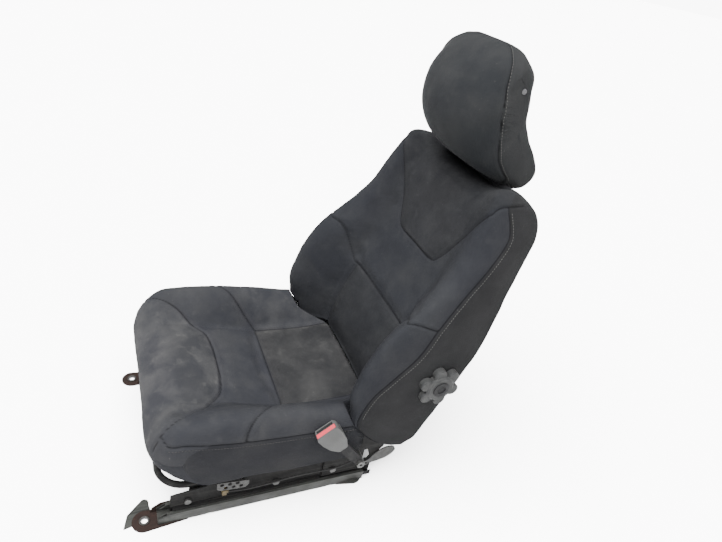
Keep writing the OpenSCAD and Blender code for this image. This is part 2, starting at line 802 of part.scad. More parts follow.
module lumbar_wires() {
    wire_r = 1.8;
    wire_n = (member_n0 + member_n1) / 2;
    color("gray") in_back() for (i = [0:5]) {
        v = mix(member_knee - 5, member_top - 35, i / 5);
        lean = member_lean * clamp((v - member_knee) / (member_top - member_knee), 0, 1);
        reach = plate_x - member_w - lean;
        translate([0, v, wire_n]) bar(-reach, reach, wire_r);
    }
}

// Geared housing of each recliner, fixed to the backrest and turning on its bracket
module gear(left) {
    color("darkgray") on_side(left) at_hinge() difference() {
        bar(gear_x, gear_x + gear_t, gear_r);
        bar(gear_x - 1, gear_x + gear_t + 1, shaft_r + run_gap);
        difference() {
            bar(gear_x + gear_t - 3, gear_x + gear_t + 1, gear_r - 5);
            bar(gear_x, gear_x + gear_t + 2, shaft_r + 9);
        }
    }
}

module gear_left() gear(true);
module gear_right() gear(false);

socket_v = back_h - 92;
socket_half = 13;

module post_sockets() {
    socket_l = top_tube_v + tube_r - socket_v;
    color("#262628") in_back() for (x = [-post_w / 2, post_w / 2])
        translate([x, socket_v, post_n]) difference() {
            translate([-socket_half, 0, -socket_half]) cube([2 * socket_half, socket_l, 2 * socket_half]);
            translate([0, -1, 0]) rotate([-90, 0, 0])
                cylinder(h = socket_l + 2, r = guide_r, $fn = round_fn);
        }
}

module post_guides() {
    color("#18181a") in_back() for (x = [-post_w / 2, post_w / 2])
        translate([x, 0, post_n]) rotate([-90, 0, 0]) difference() {
            union() {
                translate([0, 0, socket_v - 6]) cylinder(h = back_top - socket_v + 6, r = guide_r, $fn = round_fn);
                translate([0, 0, back_top]) cylinder(h = guide_flange, r = guide_r + 7, $fn = round_fn);
            }
            translate([0, 0, socket_v - 7])
                cylinder(h = back_h, r = post_r + run_gap, $fn = round_fn);
        }
}

// ---------------------------------------------------------------- backrest padding

// Knots are shares of the height over the hinge, and of the bolster, face or half width
back_width_knots = [[-0.45, 0.99], [0, 1], [0.15, 1], [0.31, 0.99], [0.48, 0.955], [0.67, 0.9], [0.81, 0.855],
                    [0.88, 0.825], [0.94, 0.79], [0.97, 0.75], [1, 0.65]];
back_crest_knots = [[-0.42, 0.72], [-0.28, 0.84], [-0.19, 0.955], [-0.07, 1], [0.08, 1.005], [0.22, 0.94],
                    [0.35, 0.8], [0.47, 0.69], [0.58, 0.61], [0.7, 0.565], [0.81, 0.57], [1, 0.6]];
back_edge_knots = [[-0.4, 0.9], [-0.31, 0.96], [-0.15, 1.14], [0, 1.2], [0.13, 1.15], [0.3, 1.02],
                   [0.48, 0.99], [0.65, 1.1], [0.81, 1.2], [1, 1.18]];
back_mid_knots = [[-0.4, 0.85], [-0.31, 0.9], [-0.15, 1.02], [0, 1.06], [0.13, 1.03], [0.3, 0.94],
                  [0.48, 0.92], [0.65, 0.98], [0.81, 1.06], [1, 1.08]];
back_seam_knots = [[-0.42, 0.68], [-0.35, 0.7], [-0.28, 0.775], [-0.2, 0.8], [-0.11, 0.785],
                   [-0.01, 0.705], [0.155, 0.575], [0.31, 0.55], [0.48, 0.47], [0.67, 0.335],
                   [0.81, 0.285], [0.87, 0.355], [0.935, 0.465], [1, 0.46]];
crest_in = 19;

function back_half(v) = back_hw * along(back_width_knots, v / back_h);

// Distance of the backrest's front before the hinge, at x across and v up
function back_face(x, v) =
    let (
        f = v / back_h,
        ax = abs(x),
        hw = back_half(v),
        cx = hw - crest_in,
        ix = min(insert_hw, cx - 30),
        mid = face_n * along(back_mid_knots, f),
        edge = face_n * along(back_edge_knots, f),
        crest = bolster_n * along(back_crest_knots, f),
        seam = bolster_n * along(back_seam_knots, f))
    ax <= ix ? mix(mid, edge, pow(ax / ix, 2))
    : ax <= cx ? mix(edge, crest, smooth(ix - 8, cx, ax))
    : seam + (crest - seam) * sqrt(max(0, 1 - pow((ax - cx) / (hw - cx), 2)));

back_straight = -40;
rear_taper = 0.06;

// Lower edge of the padding at x across and n before the hinge
function back_low(x, n) = hinge_v - sqrt(max(0, pow(gap_r(x), 2) - pow(n - hinge_n, 2)));

// Rear of the padding, rounded under at its lower end
function back_rear(x, v) =
    let (low = hinge_v - gap_r(x))
    -rear_n * mix(0.35, 1, smooth(low, low + 34, v));

function back_sink(x, v) = top_drop * (1 - smooth(90, 150, abs(x))) * smooth(back_h * 0.75, back_h, v);

// One ring of the padding. Below the straight part t runs from 0 at the lower edge to 1.
function back_ring_low(t, q) = [
    for (row = [1, -1], i = [0:len(steps) - 1])
        let (
            s = steps[row > 0 ? i : len(steps) - 1 - i],
            x0 = s * back_hw,
            v0 = back_low(x0, row > 0 ? back_face(x0, -0.31 * back_h) : -rear_n * 0.35),
            v = mix(v0, back_straight, t),
            x = s * back_half(v),
            front = back_face(x, v),
            rear = back_rear(x, v),
            n = mix(mix(rear, front, 0.45), row > 0 ? front : rear, q))
        [x, t > 0 ? v : back_low(x, n), n]];

function back_ring_high(v) = [
    for (row = [1, -1], i = [0:len(steps) - 1])
        let (
            s = steps[row > 0 ? i : len(steps) - 1 - i],
            x = s * back_half(v),
            taper = row > 0 ? 0 : rear_taper * smooth(back_h * 0.2, back_h * 0.7, v),
            front = back_face(x, v),
            k = quarter((back_h - v) / (row > 0 ? front_round : rear_round)),
            n = mix(crown_n, row > 0 ? front : -rear_n, k))
        [x * (1 - taper), v - back_sink(x, v), n]];

back_stations = [0.01, 0.08, 0.16, 0.24, 0.32, 0.4, 0.48, 0.56, 0.64, 0.72, 0.8, 0.86, 0.91, 0.945,
                 0.97, 0.985, 0.995];

module back_form() {
    loft(concat(
        [for (q = [0.15, 0.5, 0.8]) back_ring_low(0, q)],
        [for (t = [0, 0.12, 0.3, 0.52, 0.76]) back_ring_low(t, 1)],
        [for (f = back_stations) back_ring_high(f * back_h)]));
}

// Room for the hinge brackets over the whole travel of the backrest
module bracket_room() {
    sweep_r = end_r_out + 20;
    front_angle = 36;
    behind = -rear_n - hinge_n - 20;
    at_pivot() {
        bar(slot_in, slot_out, bracket_r + 6);
        plate(slot_in, slot_out - slot_in)
            polygon([[bracket_r - 2, behind], [bracket_r - 2, 4], [4, bracket_r - 2],
                     [-sweep_r * cos(front_angle), sweep_r * sin(front_angle)],
                     [-sweep_r * 1.2, 0], [-sweep_r, behind]]);
    }
}

module backrest_cushion() {
    hollow_top = member_top + 2;
    top_x = plate_x - member_lean + 5;
    color("#303238") difference() {
        in_back() back_form();
        in_back() {
            translate([0, 0, -rear_n - 20]) linear_extrude(rear_n + 20 + hollow_n)
                polygon([[-hollow_x, -end_r_out - 10], [hollow_x, -end_r_out - 10],
                         [hollow_x, member_knee + 5], [top_x, hollow_top], [-top_x, hollow_top],
                         [-hollow_x, member_knee + 5]]);
            translate([-top_x + 1, hollow_top - 6, top_tube_n - tube_r - 1])
                cube([2 * top_x - 2, top_tube_v + tube_r + 7 - hollow_top, hollow_n - top_tube_n + tube_r]);
            for (x = [-post_w / 2, post_w / 2])
                translate([x, back_top, post_n]) rotate([-90, 0, 0]) {
                    translate([0, 0, -60]) cylinder(h = 90, r = guide_r + 0.3, $fn = fine_fn);
                    cylinder(h = 30, r = guide_r + 7.5, $fn = fine_fn);
                }
        }
        for (left = [true, false]) on_side(left) bracket_room();
        at_hinge() bar(hollow_x, back_hw + 10, shaft_r + 3);
    }
}

// Thin panel that closes the rear of the backrest, cut narrow below where the brackets pass
module rear_panel() {
    low = -0.29 * back_h;
    high = 0.84 * back_h;
    wide = 80;
    rows = 6;
    panel_in = 34;
    color("#242529") in_back() translate([0, 0, -rear_n - panel_t]) linear_extrude(panel_t)
        polygon([
            for (s = [-1, 1])
                each [
                    for (i = [0:rows])
                        let (v = mix(wide, high, (s < 0 ? i : rows - i) / rows))
                        each s < 0 && i == 0
                            ? [[-slot_in + 20, low], [-slot_in + 4, low + 16], [-slot_in + 4, wide - 20],
                               [-back_half(v) + panel_in, v]]
                            : s > 0 && i == rows
                            ? [[back_half(v) - panel_in, v], [slot_in - 4, wide - 20], [slot_in - 4, low + 16],
                               [slot_in - 20, low]]
                            : [[s * (back_half(v) - panel_in), v]]]]);
}

// ---------------------------------------------------------------- recliner drive

module recliner_shaft() {
    color("silver") at_hinge()
        bar(-slot_out + 1, back_hw + 12, shaft_r);
}

module recliner_knob() {
    grip_r = knob_r * 0.29;
    core_r = knob_r * 0.66;
    flare = 1.5;
    color("#2e2f31") at_hinge() difference() {
        union() {
            bar(knob_x, knob_x + knob_t * 0.8, core_r);
            translate([knob_x + knob_t * 0.8, 0, 0]) rotate([0, 90, 0])
                cylinder(h = knob_t * 0.2, r1 = core_r, r2 = core_r * 0.86, $fn = 2 * round_fn);
            for (i = [0:knob_n - 1]) rotate([i * 360 / knob_n + 12, 0, 0])
                translate([knob_x + 3, 0, knob_r - grip_r]) rotate([0, 90, 0]) {
                    cylinder(h = knob_t * 0.75 - 3, r = grip_r, $fn = round_fn);
                    translate([0, 0, knob_t * 0.75 - 3])
                        cylinder(h = flare, r1 = grip_r, r2 = grip_r - flare, $fn = round_fn);
                }
        }
        bar(knob_x - 1, back_hw + 12, shaft_r);
        bar(knob_x + knob_t - 4, knob_x + knob_t + 1, core_r * 0.56);
    }
}

module knob_cap() {
    cap_r = knob_r * 0.66 * 0.56;
    color("#1c1d1f") at_hinge() difference() {
        bar(knob_x + knob_t - 4, knob_x + knob_t + 2, cap_r);
        bar(knob_x + knob_t, knob_x + knob_t + 3, cap_r * 0.55);
    }
}

// ---------------------------------------------------------------- head restraint

// Front and rear outlines of the head restraint, level by level from its foot to its top:
// [distance before the posts, height over its foot], both as shares of its height
head_front = [[0.04, 0], [0.32, 0.015], [0.56, 0.045], [0.765, 0.155], [0.89, 0.315], [0.935, 0.505],
              [0.915, 0.71], [0.85, 0.88], [0.69, 1]];
head_back = [[0.02, 0], [-0.08, 0.055], [-0.115, 0.2], [-0.015, 0.345], [0.165, 0.46], [0.3, 0.59],
             [0.39, 0.77], [0.5, 0.92], [0.68, 1]];

function track(list, axis, t) = along([for (i = [0:len(list) - 1]) [i / (len(list) - 1), list[i][axis]]], t);
function head_point(list, t) = [track(list, 0, t), track(list, 1, t)] * head_h;

head_levels = 17;

function head_ring(s) =
    let (
        front_k = oval(s * 0.97, 2.4),
        rear_k = oval(s * 0.95, 6),
        top_k = oval(s * 0.95, 3.6),
        foot_k = oval(s * 0.95, 7))
    [for (row = [1, -1], i = [0:head_levels])
        let (
            t = (row > 0 ? i : head_levels - i) / head_levels,
            f = head_point(head_front, t),
            b = head_point(head_back, t),
            m = mix(b, f, 0.42),
            p = mix(m, row > 0 ? f : b, row > 0 ? front_k : rear_k),
            c = head_h / 2,
            v = c + (p[1] - c) * (p[1] > c ? top_k : foot_k))
        [s * head_w / 2, head_v + v, post_n + p[0]]];

head_stations = [1, 0.985, 0.95, 0.89, 0.8, 0.68, 0.52, 0.35, 0.17];

module head_form() {
    loft([for (s = concat(head_stations, [0], [for (i = [8:-1:0]) -head_stations[i]])) head_ring(s)]);
}

module head_post(left) {
    color("silver") on_side(left) in_back() translate([post_w / 2, head_v - post_l, post_n])
        rotate([-90, 0, 0]) cylinder(h = post_l + post_in, r = post_r, $fn = round_fn);
}

module head_post_left() head_post(true);
module head_post_right() head_post(false);

// Carrier inside the head restraint that holds the posts and the release button
core_outline = [[0.13, -0.04], [0.3, -0.04], [0.4, 0.095], [0.735, 0.47], [0.655, 0.61], [0.26, 0.48],
                [0.13, 0.175]];
core_x = head_w * 0.34;

module core_shape() {
    in_back() plate(-core_x, 2 * core_x)
        polygon([for (p = core_outline) [head_v + p[0] * head_h, post_n + p[1] * head_h]]);
}

module head_core() {
    color("#44464a") difference() {
        core_shape();
        head_post(true);
        head_post(false);
    }
}

module button_room(r, depth) {
    in_back() translate([0, head_v + button_v * head_h, button_n]) bar(button_x - depth, button_x + 20, r);
}

module head_cushion() {
    color("#34363b") difference() {
        in_back() head_form();
        head_post(true);
        head_post(false);
        core_shape();
        button_room(button_r + 4, button_x - core_x + touch);
    }
}

module button_ring() {
    color("#141416") in_back() translate([0, head_v + button_v * head_h, button_n]) difference() {
        bar(core_x, button_x + 2, button_r + 4);
        bar(button_x - 10, button_x + 3, button_r + run_gap);
    }
}

module head_button() {
    color("gray") in_back() translate([0, head_v + button_v * head_h, button_n])
        bar(button_x - 6, button_x + 4, button_r);
}

// ---------------------------------------------------------------- belt buckle

module on_stalk() {
    translate([0, anchor_y, anchor_z]) rotate([stalk_tilt, 0, 0]) children();
}

module buckle_bolt() {
    color("silver") translate([0, anchor_y, anchor_z]) {
        bar(bracket_x, stalk_x + stalk_t + slide_gap + 1, anchor_r);
        bar(bracket_x + bracket_t, stalk_x - slide_gap, anchor_r + 5);
        difference() {
            bar(stalk_x + stalk_t + slide_gap, stalk_x + stalk_t + slide_gap + 7, anchor_r + 3);
            bar(stalk_x + stalk_t + slide_gap + 4, stalk_x + stalk_t + slide_gap + 8, anchor_r - 2.5);
        }
    }
}

module buckle_stalk() {
    color("#3b3c3e") on_stalk() difference() {
        plate(stalk_x, stalk_t) {
            circle(r = stalk_w / 2, $fn = round_fn);
            translate([-stalk_w / 2, 0]) square([stalk_w, stalk_l + 20]);
        }
        bar(stalk_x - 1, stalk_x + stalk_t + 1, anchor_r + run_gap);
    }
}

// Soft sleeve round the stalk, below the buckle
module buckle_sleeve() {
    wall = 1.5;
    color("#2a2b2d") on_stalk() difference() {
        translate([stalk_x - wall, -stalk_w / 2 - wall, 26])
            cube([stalk_t + 2 * wall, stalk_w + 2 * wall, stalk_l - 26]);
        translate([stalk_x, -stalk_w / 2, 20]) cube([stalk_t, stalk_w, stalk_l]);
    }
}

shell_wall = 2.5;
slot_depth = 32;
key_t = buckle_t - slot_t - 2 * shell_wall - 1;
key_x = buckle_x + shell_wall + slot_t + 1;
key_w = slot_w + 6;
key_depth = 16;

module buckle_outline() {
    top_z = stalk_l + buckle_l;
    neck = stalk_w + 5;
    polygon([[-neck / 2, stalk_l + 3], [-neck / 2 + 3, stalk_l], [neck / 2 - 3, stalk_l], [neck / 2, stalk_l + 3],
             [buckle_w / 2 - 4, stalk_l + buckle_l * 0.3], [buckle_w / 2, stalk_l + buckle_l * 0.62],
             [buckle_w / 2, top_z - 7], [buckle_w / 2 - 4, top_z], [-buckle_w / 2 + 4, top_z],
             [-buckle_w / 2, top_z - 7], [-buckle_w / 2, stalk_l + buckle_l * 0.62],
             [-buckle_w / 2 + 4, stalk_l + buckle_l * 0.3]]);
}

// Flat rear half of the housing, behind the slot
module buckle_back() {
    color("#55575a") on_stalk() plate(buckle_x, shell_wall) buckle_outline();
}

module buckle_housing() {
    top_z = stalk_l + buckle_l;
    color("#55575a") on_stalk() difference() {
        plate(buckle_x + shell_wall, buckle_t - shell_wall) buckle_outline();
        translate([buckle_x + shell_wall - 1, -slot_w / 2, top_z - slot_depth])
            cube([slot_t + 1, slot_w, slot_depth + 1]);
        translate([key_x, -key_w / 2, top_z - key_depth - 4]) cube([key_t, key_w, key_depth + 5]);
        translate([stalk_x, -stalk_w / 2, stalk_l - 1]) cube([stalk_t, stalk_w, 21]);
    }
}

module buckle_button() {
    top_z = stalk_l + buckle_l;
    color("firebrick") on_stalk()
        translate([key_x + slide_gap, -key_w / 2 + slide_gap, top_z - key_depth])
            cube([key_t - 2 * slide_gap, key_w - 2 * slide_gap, key_depth - 0.5]);
}

// ---------------------------------------------------------------- nodes

lower_rail_left();
lower_rail_right();
front_foot_left();
front_foot_right();
rear_foot_left();
rear_foot_right();
foot_bushes();
foot_tab();
upper_rail_left();
upper_rail_right();
rail_rollers();
side_frame_left();
side_frame_right();
frame_bolts();
front_cross_tube();
rear_cross_tube();
seat_pan();
suspension_wires();
hinge_bracket_left();
hinge_bracket_right();
rear_hook();
harness_bracket();
harness_wire();
harness_connector();
buckle_bolt();
seat_cushion();
release_bar();
lock_lever_left();
lock_lever_right();
lock_pivots();
back_plate_left();
back_plate_right();
back_member_left();
back_member_right();
back_top_tube();
back_lower_cross();
lumbar_wires();
gear_left();
gear_right();
post_sockets();
post_guides();
rear_panel();
backrest_cushion();
recliner_shaft();
recliner_knob();
knob_cap();
head_post_left();
head_post_right();
head_core();
button_ring();
head_cushion();
head_button();
buckle_stalk();
buckle_sleeve();
buckle_back();
buckle_housing();
buckle_button();
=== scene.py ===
import bpy
import bmesh
import json
import math
import numpy as np
from mathutils import Matrix, Vector
from mathutils.bvhtree import BVHTree


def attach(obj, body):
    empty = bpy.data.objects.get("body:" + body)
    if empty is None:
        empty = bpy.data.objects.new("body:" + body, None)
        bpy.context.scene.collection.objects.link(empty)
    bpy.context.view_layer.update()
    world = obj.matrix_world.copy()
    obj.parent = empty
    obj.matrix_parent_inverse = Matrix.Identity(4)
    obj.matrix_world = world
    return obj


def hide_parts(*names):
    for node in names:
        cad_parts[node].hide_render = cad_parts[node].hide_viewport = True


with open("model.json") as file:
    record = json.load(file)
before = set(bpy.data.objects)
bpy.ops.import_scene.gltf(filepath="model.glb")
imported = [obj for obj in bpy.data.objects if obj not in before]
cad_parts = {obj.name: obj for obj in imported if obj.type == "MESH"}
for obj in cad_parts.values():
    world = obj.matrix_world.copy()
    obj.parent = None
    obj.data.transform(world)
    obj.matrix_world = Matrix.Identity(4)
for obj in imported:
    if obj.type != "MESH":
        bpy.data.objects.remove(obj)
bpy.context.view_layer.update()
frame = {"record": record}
MM = 0.001


# ------------------------------------------------------------------ camera
# fitted to the photo: turn, height and roll, place in metres, sensor and lens in millimetres
AZ, EL, ROLL = math.radians(61.33), math.radians(31.27), math.radians(12.27)
CAMERA_AT = (0.93942, -0.25887, 1.09537)
SENSOR_W, LENS = 36, 27.435
back = Vector((math.sin(AZ) * math.cos(EL), -math.cos(AZ) * math.cos(EL), math.sin(EL)))
right0 = Vector((math.cos(AZ), math.sin(AZ), 0))
up0 = back.cross(right0)
right = math.cos(ROLL) * right0 + math.sin(ROLL) * up0
up = -math.sin(ROLL) * right0 + math.cos(ROLL) * up0
camera_data = bpy.data.cameras.new("camera")
camera_data.sensor_width = SENSOR_W
camera_data.lens = LENS
camera = bpy.data.objects.new("camera", camera_data)
camera.matrix_world = Matrix.Translation(CAMERA_AT) @ Matrix(
    (right, up, back)).transposed().to_4x4()
bpy.context.scene.collection.objects.link(camera)
bpy.context.scene.camera = camera


# ------------------------------------------------------------------ sizes
# in millimetres, with the names that the part's source has for them
SEAT_W, SEAT_L, NOSE_Z, SEAT_Z, SEAT_BOLSTER = 486, 486, 195, 189, 80
SKIRT_Z, SKIRT_IN, INSERT_W = 104, 9, 260
HINGE_Y, HINGE_Z, RECLINE = 353, 319, math.radians(21)
BACK_W, BACK_H, HINGE_N, HINGE_V = 500, 430, 25, 15
FACE_N, BOLSTER_N, REAR_N = 76, 192, 28
END_IN, END_OUT, PAD_GAP = 155, 193, 2
TOP_DROP, CROWN_N, FRONT_ROUND, REAR_ROUND = 16, 45, 28, 75
HEAD_W, HEAD_H, POST_N, POST_W = 250, 229, 23, 140
GUIDE_FLANGE, HEAD_GAP = 4, 3
BACK_TOP = BACK_H - TOP_DROP
HEAD_V = BACK_TOP + GUIDE_FLANGE + HEAD_GAP
SEAT_HW, INSERT_HW, BACK_HW = SEAT_W / 2, INSERT_W / 2, BACK_W / 2
END_LEAD, SIDE_SHORT, GAP_LEAD, GAP_RUN = 89, 48, 5, 60
SEAT_END = HINGE_Y - END_LEAD
NOSE_Y = SEAT_END - SEAT_L
CORNER_R, NOSE_ROUND = 63, 55
BACK_STRAIGHT, REAR_TAPER = -40, 0.06
SEAT_CREST_IN, BACK_CREST_IN = 27, 19
SEAT_CREST_X = SEAT_HW - SEAT_CREST_IN
# rise of the skirt's lower edge along its front half and under the nose
FRONT_RISE, NOSE_RISE = 7, 21
# share of the padding's depth behind the datum at its lower edge, and where it is full
LOW_SHARE, LOW_RUN = 0.35, 34
# how far the covers' sides stand out between their edges
SEAT_BULGE, BACK_BULGE, HEAD_BULGE = 3.5, 3, 3.5

# numbers of vertices: across a top between its rims and on them, down a side, across the rest
SEAT_COLUMNS, BACK_COLUMNS = (124, 24, 34, 40), (124, 20, 46, 50)
HEAD_LEVELS = 76
# distance of a vertex that no seam is near, and how far a seam holds the cloth
FAR, PIN_REACH = 99.0, 7
# a seam's groove, the welt beside it, its dark line, and the folds around it, all by width
GROOVE_W, WELT_H, WELT_AT, WELT_W, LINE_W = 2.3, 0.7, 6.5, 3.2, 1.9
FOLD_REACH, FLAT_REACH = 28, 9


# ------------------------------------------------------------------ curves
def mix(a, b, t):
    return a + (b - a) * t


def smooth(a, b, t):
    u = np.clip((t - a) / (b - a), 0, 1)
    return u * u * (3 - 2 * u)


def quarter(t):
    return np.sqrt(np.maximum(0, 1 - (1 - np.clip(t, 0, 1)) ** 2))


def oval(t, p):
    return np.maximum(0, 1 - np.minimum(np.abs(t), 1) ** p) ** (1 / p)


def along(knots, v):
    k = np.array(knots, float)
    x, y = k[:, 0], k[:, 1]
    a = np.maximum(np.arange(len(x)) - 1, 0)
    b = np.minimum(np.arange(len(x)) + 1, len(x) - 1)
    slope = (y[b] - y[a]) / (x[b] - x[a])
    w = np.clip(v, x[0], x[-1])
    i = np.clip(np.searchsorted(x, w, side="right") - 1, 0, len(x) - 2)
    h = x[i + 1] - x[i]
    t = (w - x[i]) / h
    return (y[i] * (2 * t ** 3 - 3 * t ** 2 + 1) + h * slope[i] * (t ** 3 - 2 * t ** 2 + t)
            + y[i + 1] * (3 * t ** 2 - 2 * t ** 3) + h * slope[i + 1] * (t ** 3 - t ** 2))


def bell(d, width):
    return np.exp(-(d / width) ** 2)


def line_distance(points, line):
    """Distance from points to a smooth line through the knots, in the plane or in space."""
    line = np.array(line, float)
    at = np.arange(len(line))
    s = np.linspace(0, len(line) - 1, 10 * (len(line) - 1) + 1)
    fine = np.stack([along(np.column_stack([at, line[:, k]]), s) for k in range(line.shape[1])],
                    axis=1)
    best = np.full(points.shape[:-1], 1e9)
    for a, b in zip(fine[:-1], fine[1:]):
        t = np.clip((points - a) @ (b - a) / ((b - a) @ (b - a) + 1e-9), 0, 1)
        best = np.minimum(best, np.linalg.norm(points - a - t[..., None] * (b - a), axis=-1))
    return best


def nearest(points, lines):
    """Distance from points to the nearest of some lines, where one is near."""
    best = np.full(points.shape[:-1], FAR)
    for line in lines:
        best = np.minimum(best, line_distance(points, line))
    return best


def both_sides(line):
    """A line on the left, and the same on the right."""
    return [line, [(-p[0], *p[1:]) for p in line]]


def folded(rings):
    """The points with their right half laid over the left."""
    out = rings.copy()
    out[..., 0] = np.abs(out[..., 0])
    return out


def ripple(p, scale, seed, waves=9):
    """Smooth seeded noise of about unit height from a few sine waves."""
    r = np.random.RandomState(seed)
    total = np.zeros(len(p))
    for _ in range(waves):
        d = r.normal(size=3)
        d /= np.linalg.norm(d)
        total += np.sin(p @ d * (2 * np.pi / scale) * r.uniform(0.6, 1.6) + r.uniform(0, 6.28))
    return total / math.sqrt(waves)


# ------------------------------------------------------------------ seat cushion form
SEAT_MID = [[0, 1.26], [0.15, 1.29], [0.34, 1.175], [0.6, 1.02], [0.8, 1.005], [1, 1.055]]
SEAT_EDGE = [[0, 1.25], [0.15, 1.25], [0.32, 1.17], [0.46, 1.07], [0.6, 1], [0.8, 0.985], [1, 1.04]]
SEAT_CREST = [[0, 0.96], [0.08, 0.99], [0.18, 1.09], [0.36, 1.09], [0.59, 0.96], [0.73, 0.79],
              [0.85, 0.68], [1, 0.6]]
SEAT_SEAM = [[0, 0.64], [0.19, 0.62], [0.35, 0.48], [0.51, 0.4], [0.67, 0.35], [1, 0.3]]


def seat_top(x, y):
    f = np.clip((y - NOSE_Y) / SEAT_L, 0, 1)
    ax = np.abs(x)
    mid, edge = SEAT_Z * along(SEAT_MID, f), SEAT_Z * along(SEAT_EDGE, f)
    crest = SEAT_Z + SEAT_BOLSTER * along(SEAT_CREST, f)
    seam = SEAT_Z + SEAT_BOLSTER * along(SEAT_SEAM, f)
    inner = mix(mid, edge, np.minimum(ax / INSERT_HW, 1) ** 2)
    rise = mix(edge, crest, smooth(INSERT_HW - 10, SEAT_CREST_X, ax))
    fall = np.clip((ax - SEAT_CREST_X) / (SEAT_HW - SEAT_CREST_X), 0, 1)
    roll = seam + (crest - seam) * np.sqrt(1 - fall ** 2)
    return np.where(ax <= INSERT_HW, inner, np.where(ax <= SEAT_CREST_X, rise, roll))


def gap_r(x):
    return mix(END_IN, END_OUT, smooth(INSERT_HW, INSERT_HW + GAP_RUN, np.abs(x)))


def seat_front(x):
    return NOSE_Y + CORNER_R * (1 - quarter((SEAT_HW - np.abs(x)) / CORNER_R))


def seat_rear(x, z):
    r = gap_r(np.abs(x) + GAP_LEAD) + PAD_GAP
    arc = HINGE_Y - np.sqrt(np.maximum(0, r * r - (z - HINGE_Z) ** 2))
    short = SIDE_SHORT * smooth(INSERT_HW + 20, INSERT_HW + 70, np.abs(x))
    return np.minimum(arc, SEAT_END - short)


def seat_bottom(y):
    return (SKIRT_Z + FRONT_RISE * (1 - smooth(NOSE_Y + 200, NOSE_Y + 310, y))
            + NOSE_RISE * (1 - smooth(NOSE_Y + 30, NOSE_Y + 105, y)))


def spread(half, rim, inner, outer):
    """Places across a width: even in the middle, closer towards both rims."""
    mid = np.linspace(-(half - rim), half - rim, inner)
    edge = half - rim * (1 - np.sin(np.linspace(0, math.pi / 2, outer + 1)[1:]))
    return np.concatenate([-edge[::-1], mid, edge])


def seat_rings():
    inner, outer, n_high, n_bot = SEAT_COLUMNS
    top_x = spread(SEAT_HW, CORNER_R, inner, outer)
    side_t = np.linspace(0, 1, n_high)[1:-1]
    bottom_x = np.linspace(SEAT_HW, -SEAT_HW, n_bot)
    n_top, n_side = len(top_x), len(side_t)
    x = np.concatenate([top_x, np.full(n_side, SEAT_HW), bottom_x, np.full(n_side, -SEAT_HW)])
    # w is 0 on the top and 1 at the skirt's bottom edge; region is 0 on top, 1 on the sides
    # and 2 underneath
    w = np.concatenate([np.zeros(n_top), side_t, np.ones(n_bot), side_t[::-1]])
    region = np.concatenate([np.zeros(n_top), np.ones(n_side), np.full(n_bot, 2), np.ones(n_side)])
    nose = NOSE_ROUND * (1 - np.cos(np.linspace(0.03, math.pi / 2, 26))) / SEAT_L
    u_list = np.concatenate([nose, np.linspace(nose[-1], 1, 150)[1:]])
    rings = []
    top_end = np.full_like(x, SEAT_END)
    for _ in range(4):
        top_end = seat_rear(x, seat_top(x, top_end))
    y1 = mix(top_end, seat_rear(x, seat_bottom(np.full_like(x, SEAT_END))), w)
    y0 = seat_front(x)
    for u in u_list:
        y = mix(y0, y1, u)
        k = quarter((y - y0) / NOSE_ROUND)
        high = NOSE_Z + (seat_top(x, y) - NOSE_Z) * k
        low = NOSE_Z + (seat_bottom(y) - NOSE_Z) * k
        z = mix(high, low, w)
        bulge = (SEAT_BULGE * np.sin(np.pi * np.clip(w, 0, 1)) * (region == 1)
                 * smooth(0, 60, high - low))
        xx = np.where(region == 2, x * (SEAT_HW - SKIRT_IN) / SEAT_HW,
                      x * (1 - w * SKIRT_IN / SEAT_HW) + np.sign(x) * bulge)
        rings.append(np.column_stack([xx, y, z]))
    last = rings[-1]
    middle = (NOSE_Z + seat_bottom(last[:, 1])) / 2
    for q in (0.85, 0.65, 0.45, 0.25, 0.1):
        z = mix(middle, last[:, 2], q)
        rings.append(np.column_stack([last[:, 0], seat_rear(x, z), z]))
    return np.array(rings), w, region


# ------------------------------------------------------------------ backrest form
BACK_WIDTH = [[-0.45, 0.99], [0, 1], [0.15, 1], [0.31, 0.99], [0.48, 0.955], [0.67, 0.9],
              [0.81, 0.855], [0.88, 0.825], [0.94, 0.79], [0.97, 0.75], [1, 0.65]]
BACK_CREST = [[-0.42, 0.72], [-0.28, 0.84], [-0.19, 0.955], [-0.07, 1], [0.08, 1.005], [0.22, 0.94],
              [0.35, 0.8], [0.47, 0.69], [0.58, 0.61], [0.7, 0.565], [0.81, 0.57], [1, 0.6]]
BACK_EDGE = [[-0.4, 0.9], [-0.31, 0.96], [-0.15, 1.14], [0, 1.2], [0.13, 1.15], [0.3, 1.02],
             [0.48, 0.99], [0.65, 1.1], [0.81, 1.2], [1, 1.18]]
BACK_MID = [[-0.4, 0.85], [-0.31, 0.9], [-0.15, 1.02], [0, 1.06], [0.13, 1.03], [0.3, 0.94],
            [0.48, 0.92], [0.65, 0.98], [0.81, 1.06], [1, 1.08]]
BACK_SEAM = [[-0.42, 0.68], [-0.35, 0.7], [-0.28, 0.775], [-0.2, 0.8], [-0.11, 0.785],
             [-0.01, 0.705], [0.155, 0.575], [0.31, 0.55], [0.48, 0.47], [0.67, 0.335],
             [0.81, 0.285], [0.87, 0.355], [0.935, 0.465], [1, 0.46]]


def back_half(v):
    return BACK_HW * along(BACK_WIDTH, v / BACK_H)


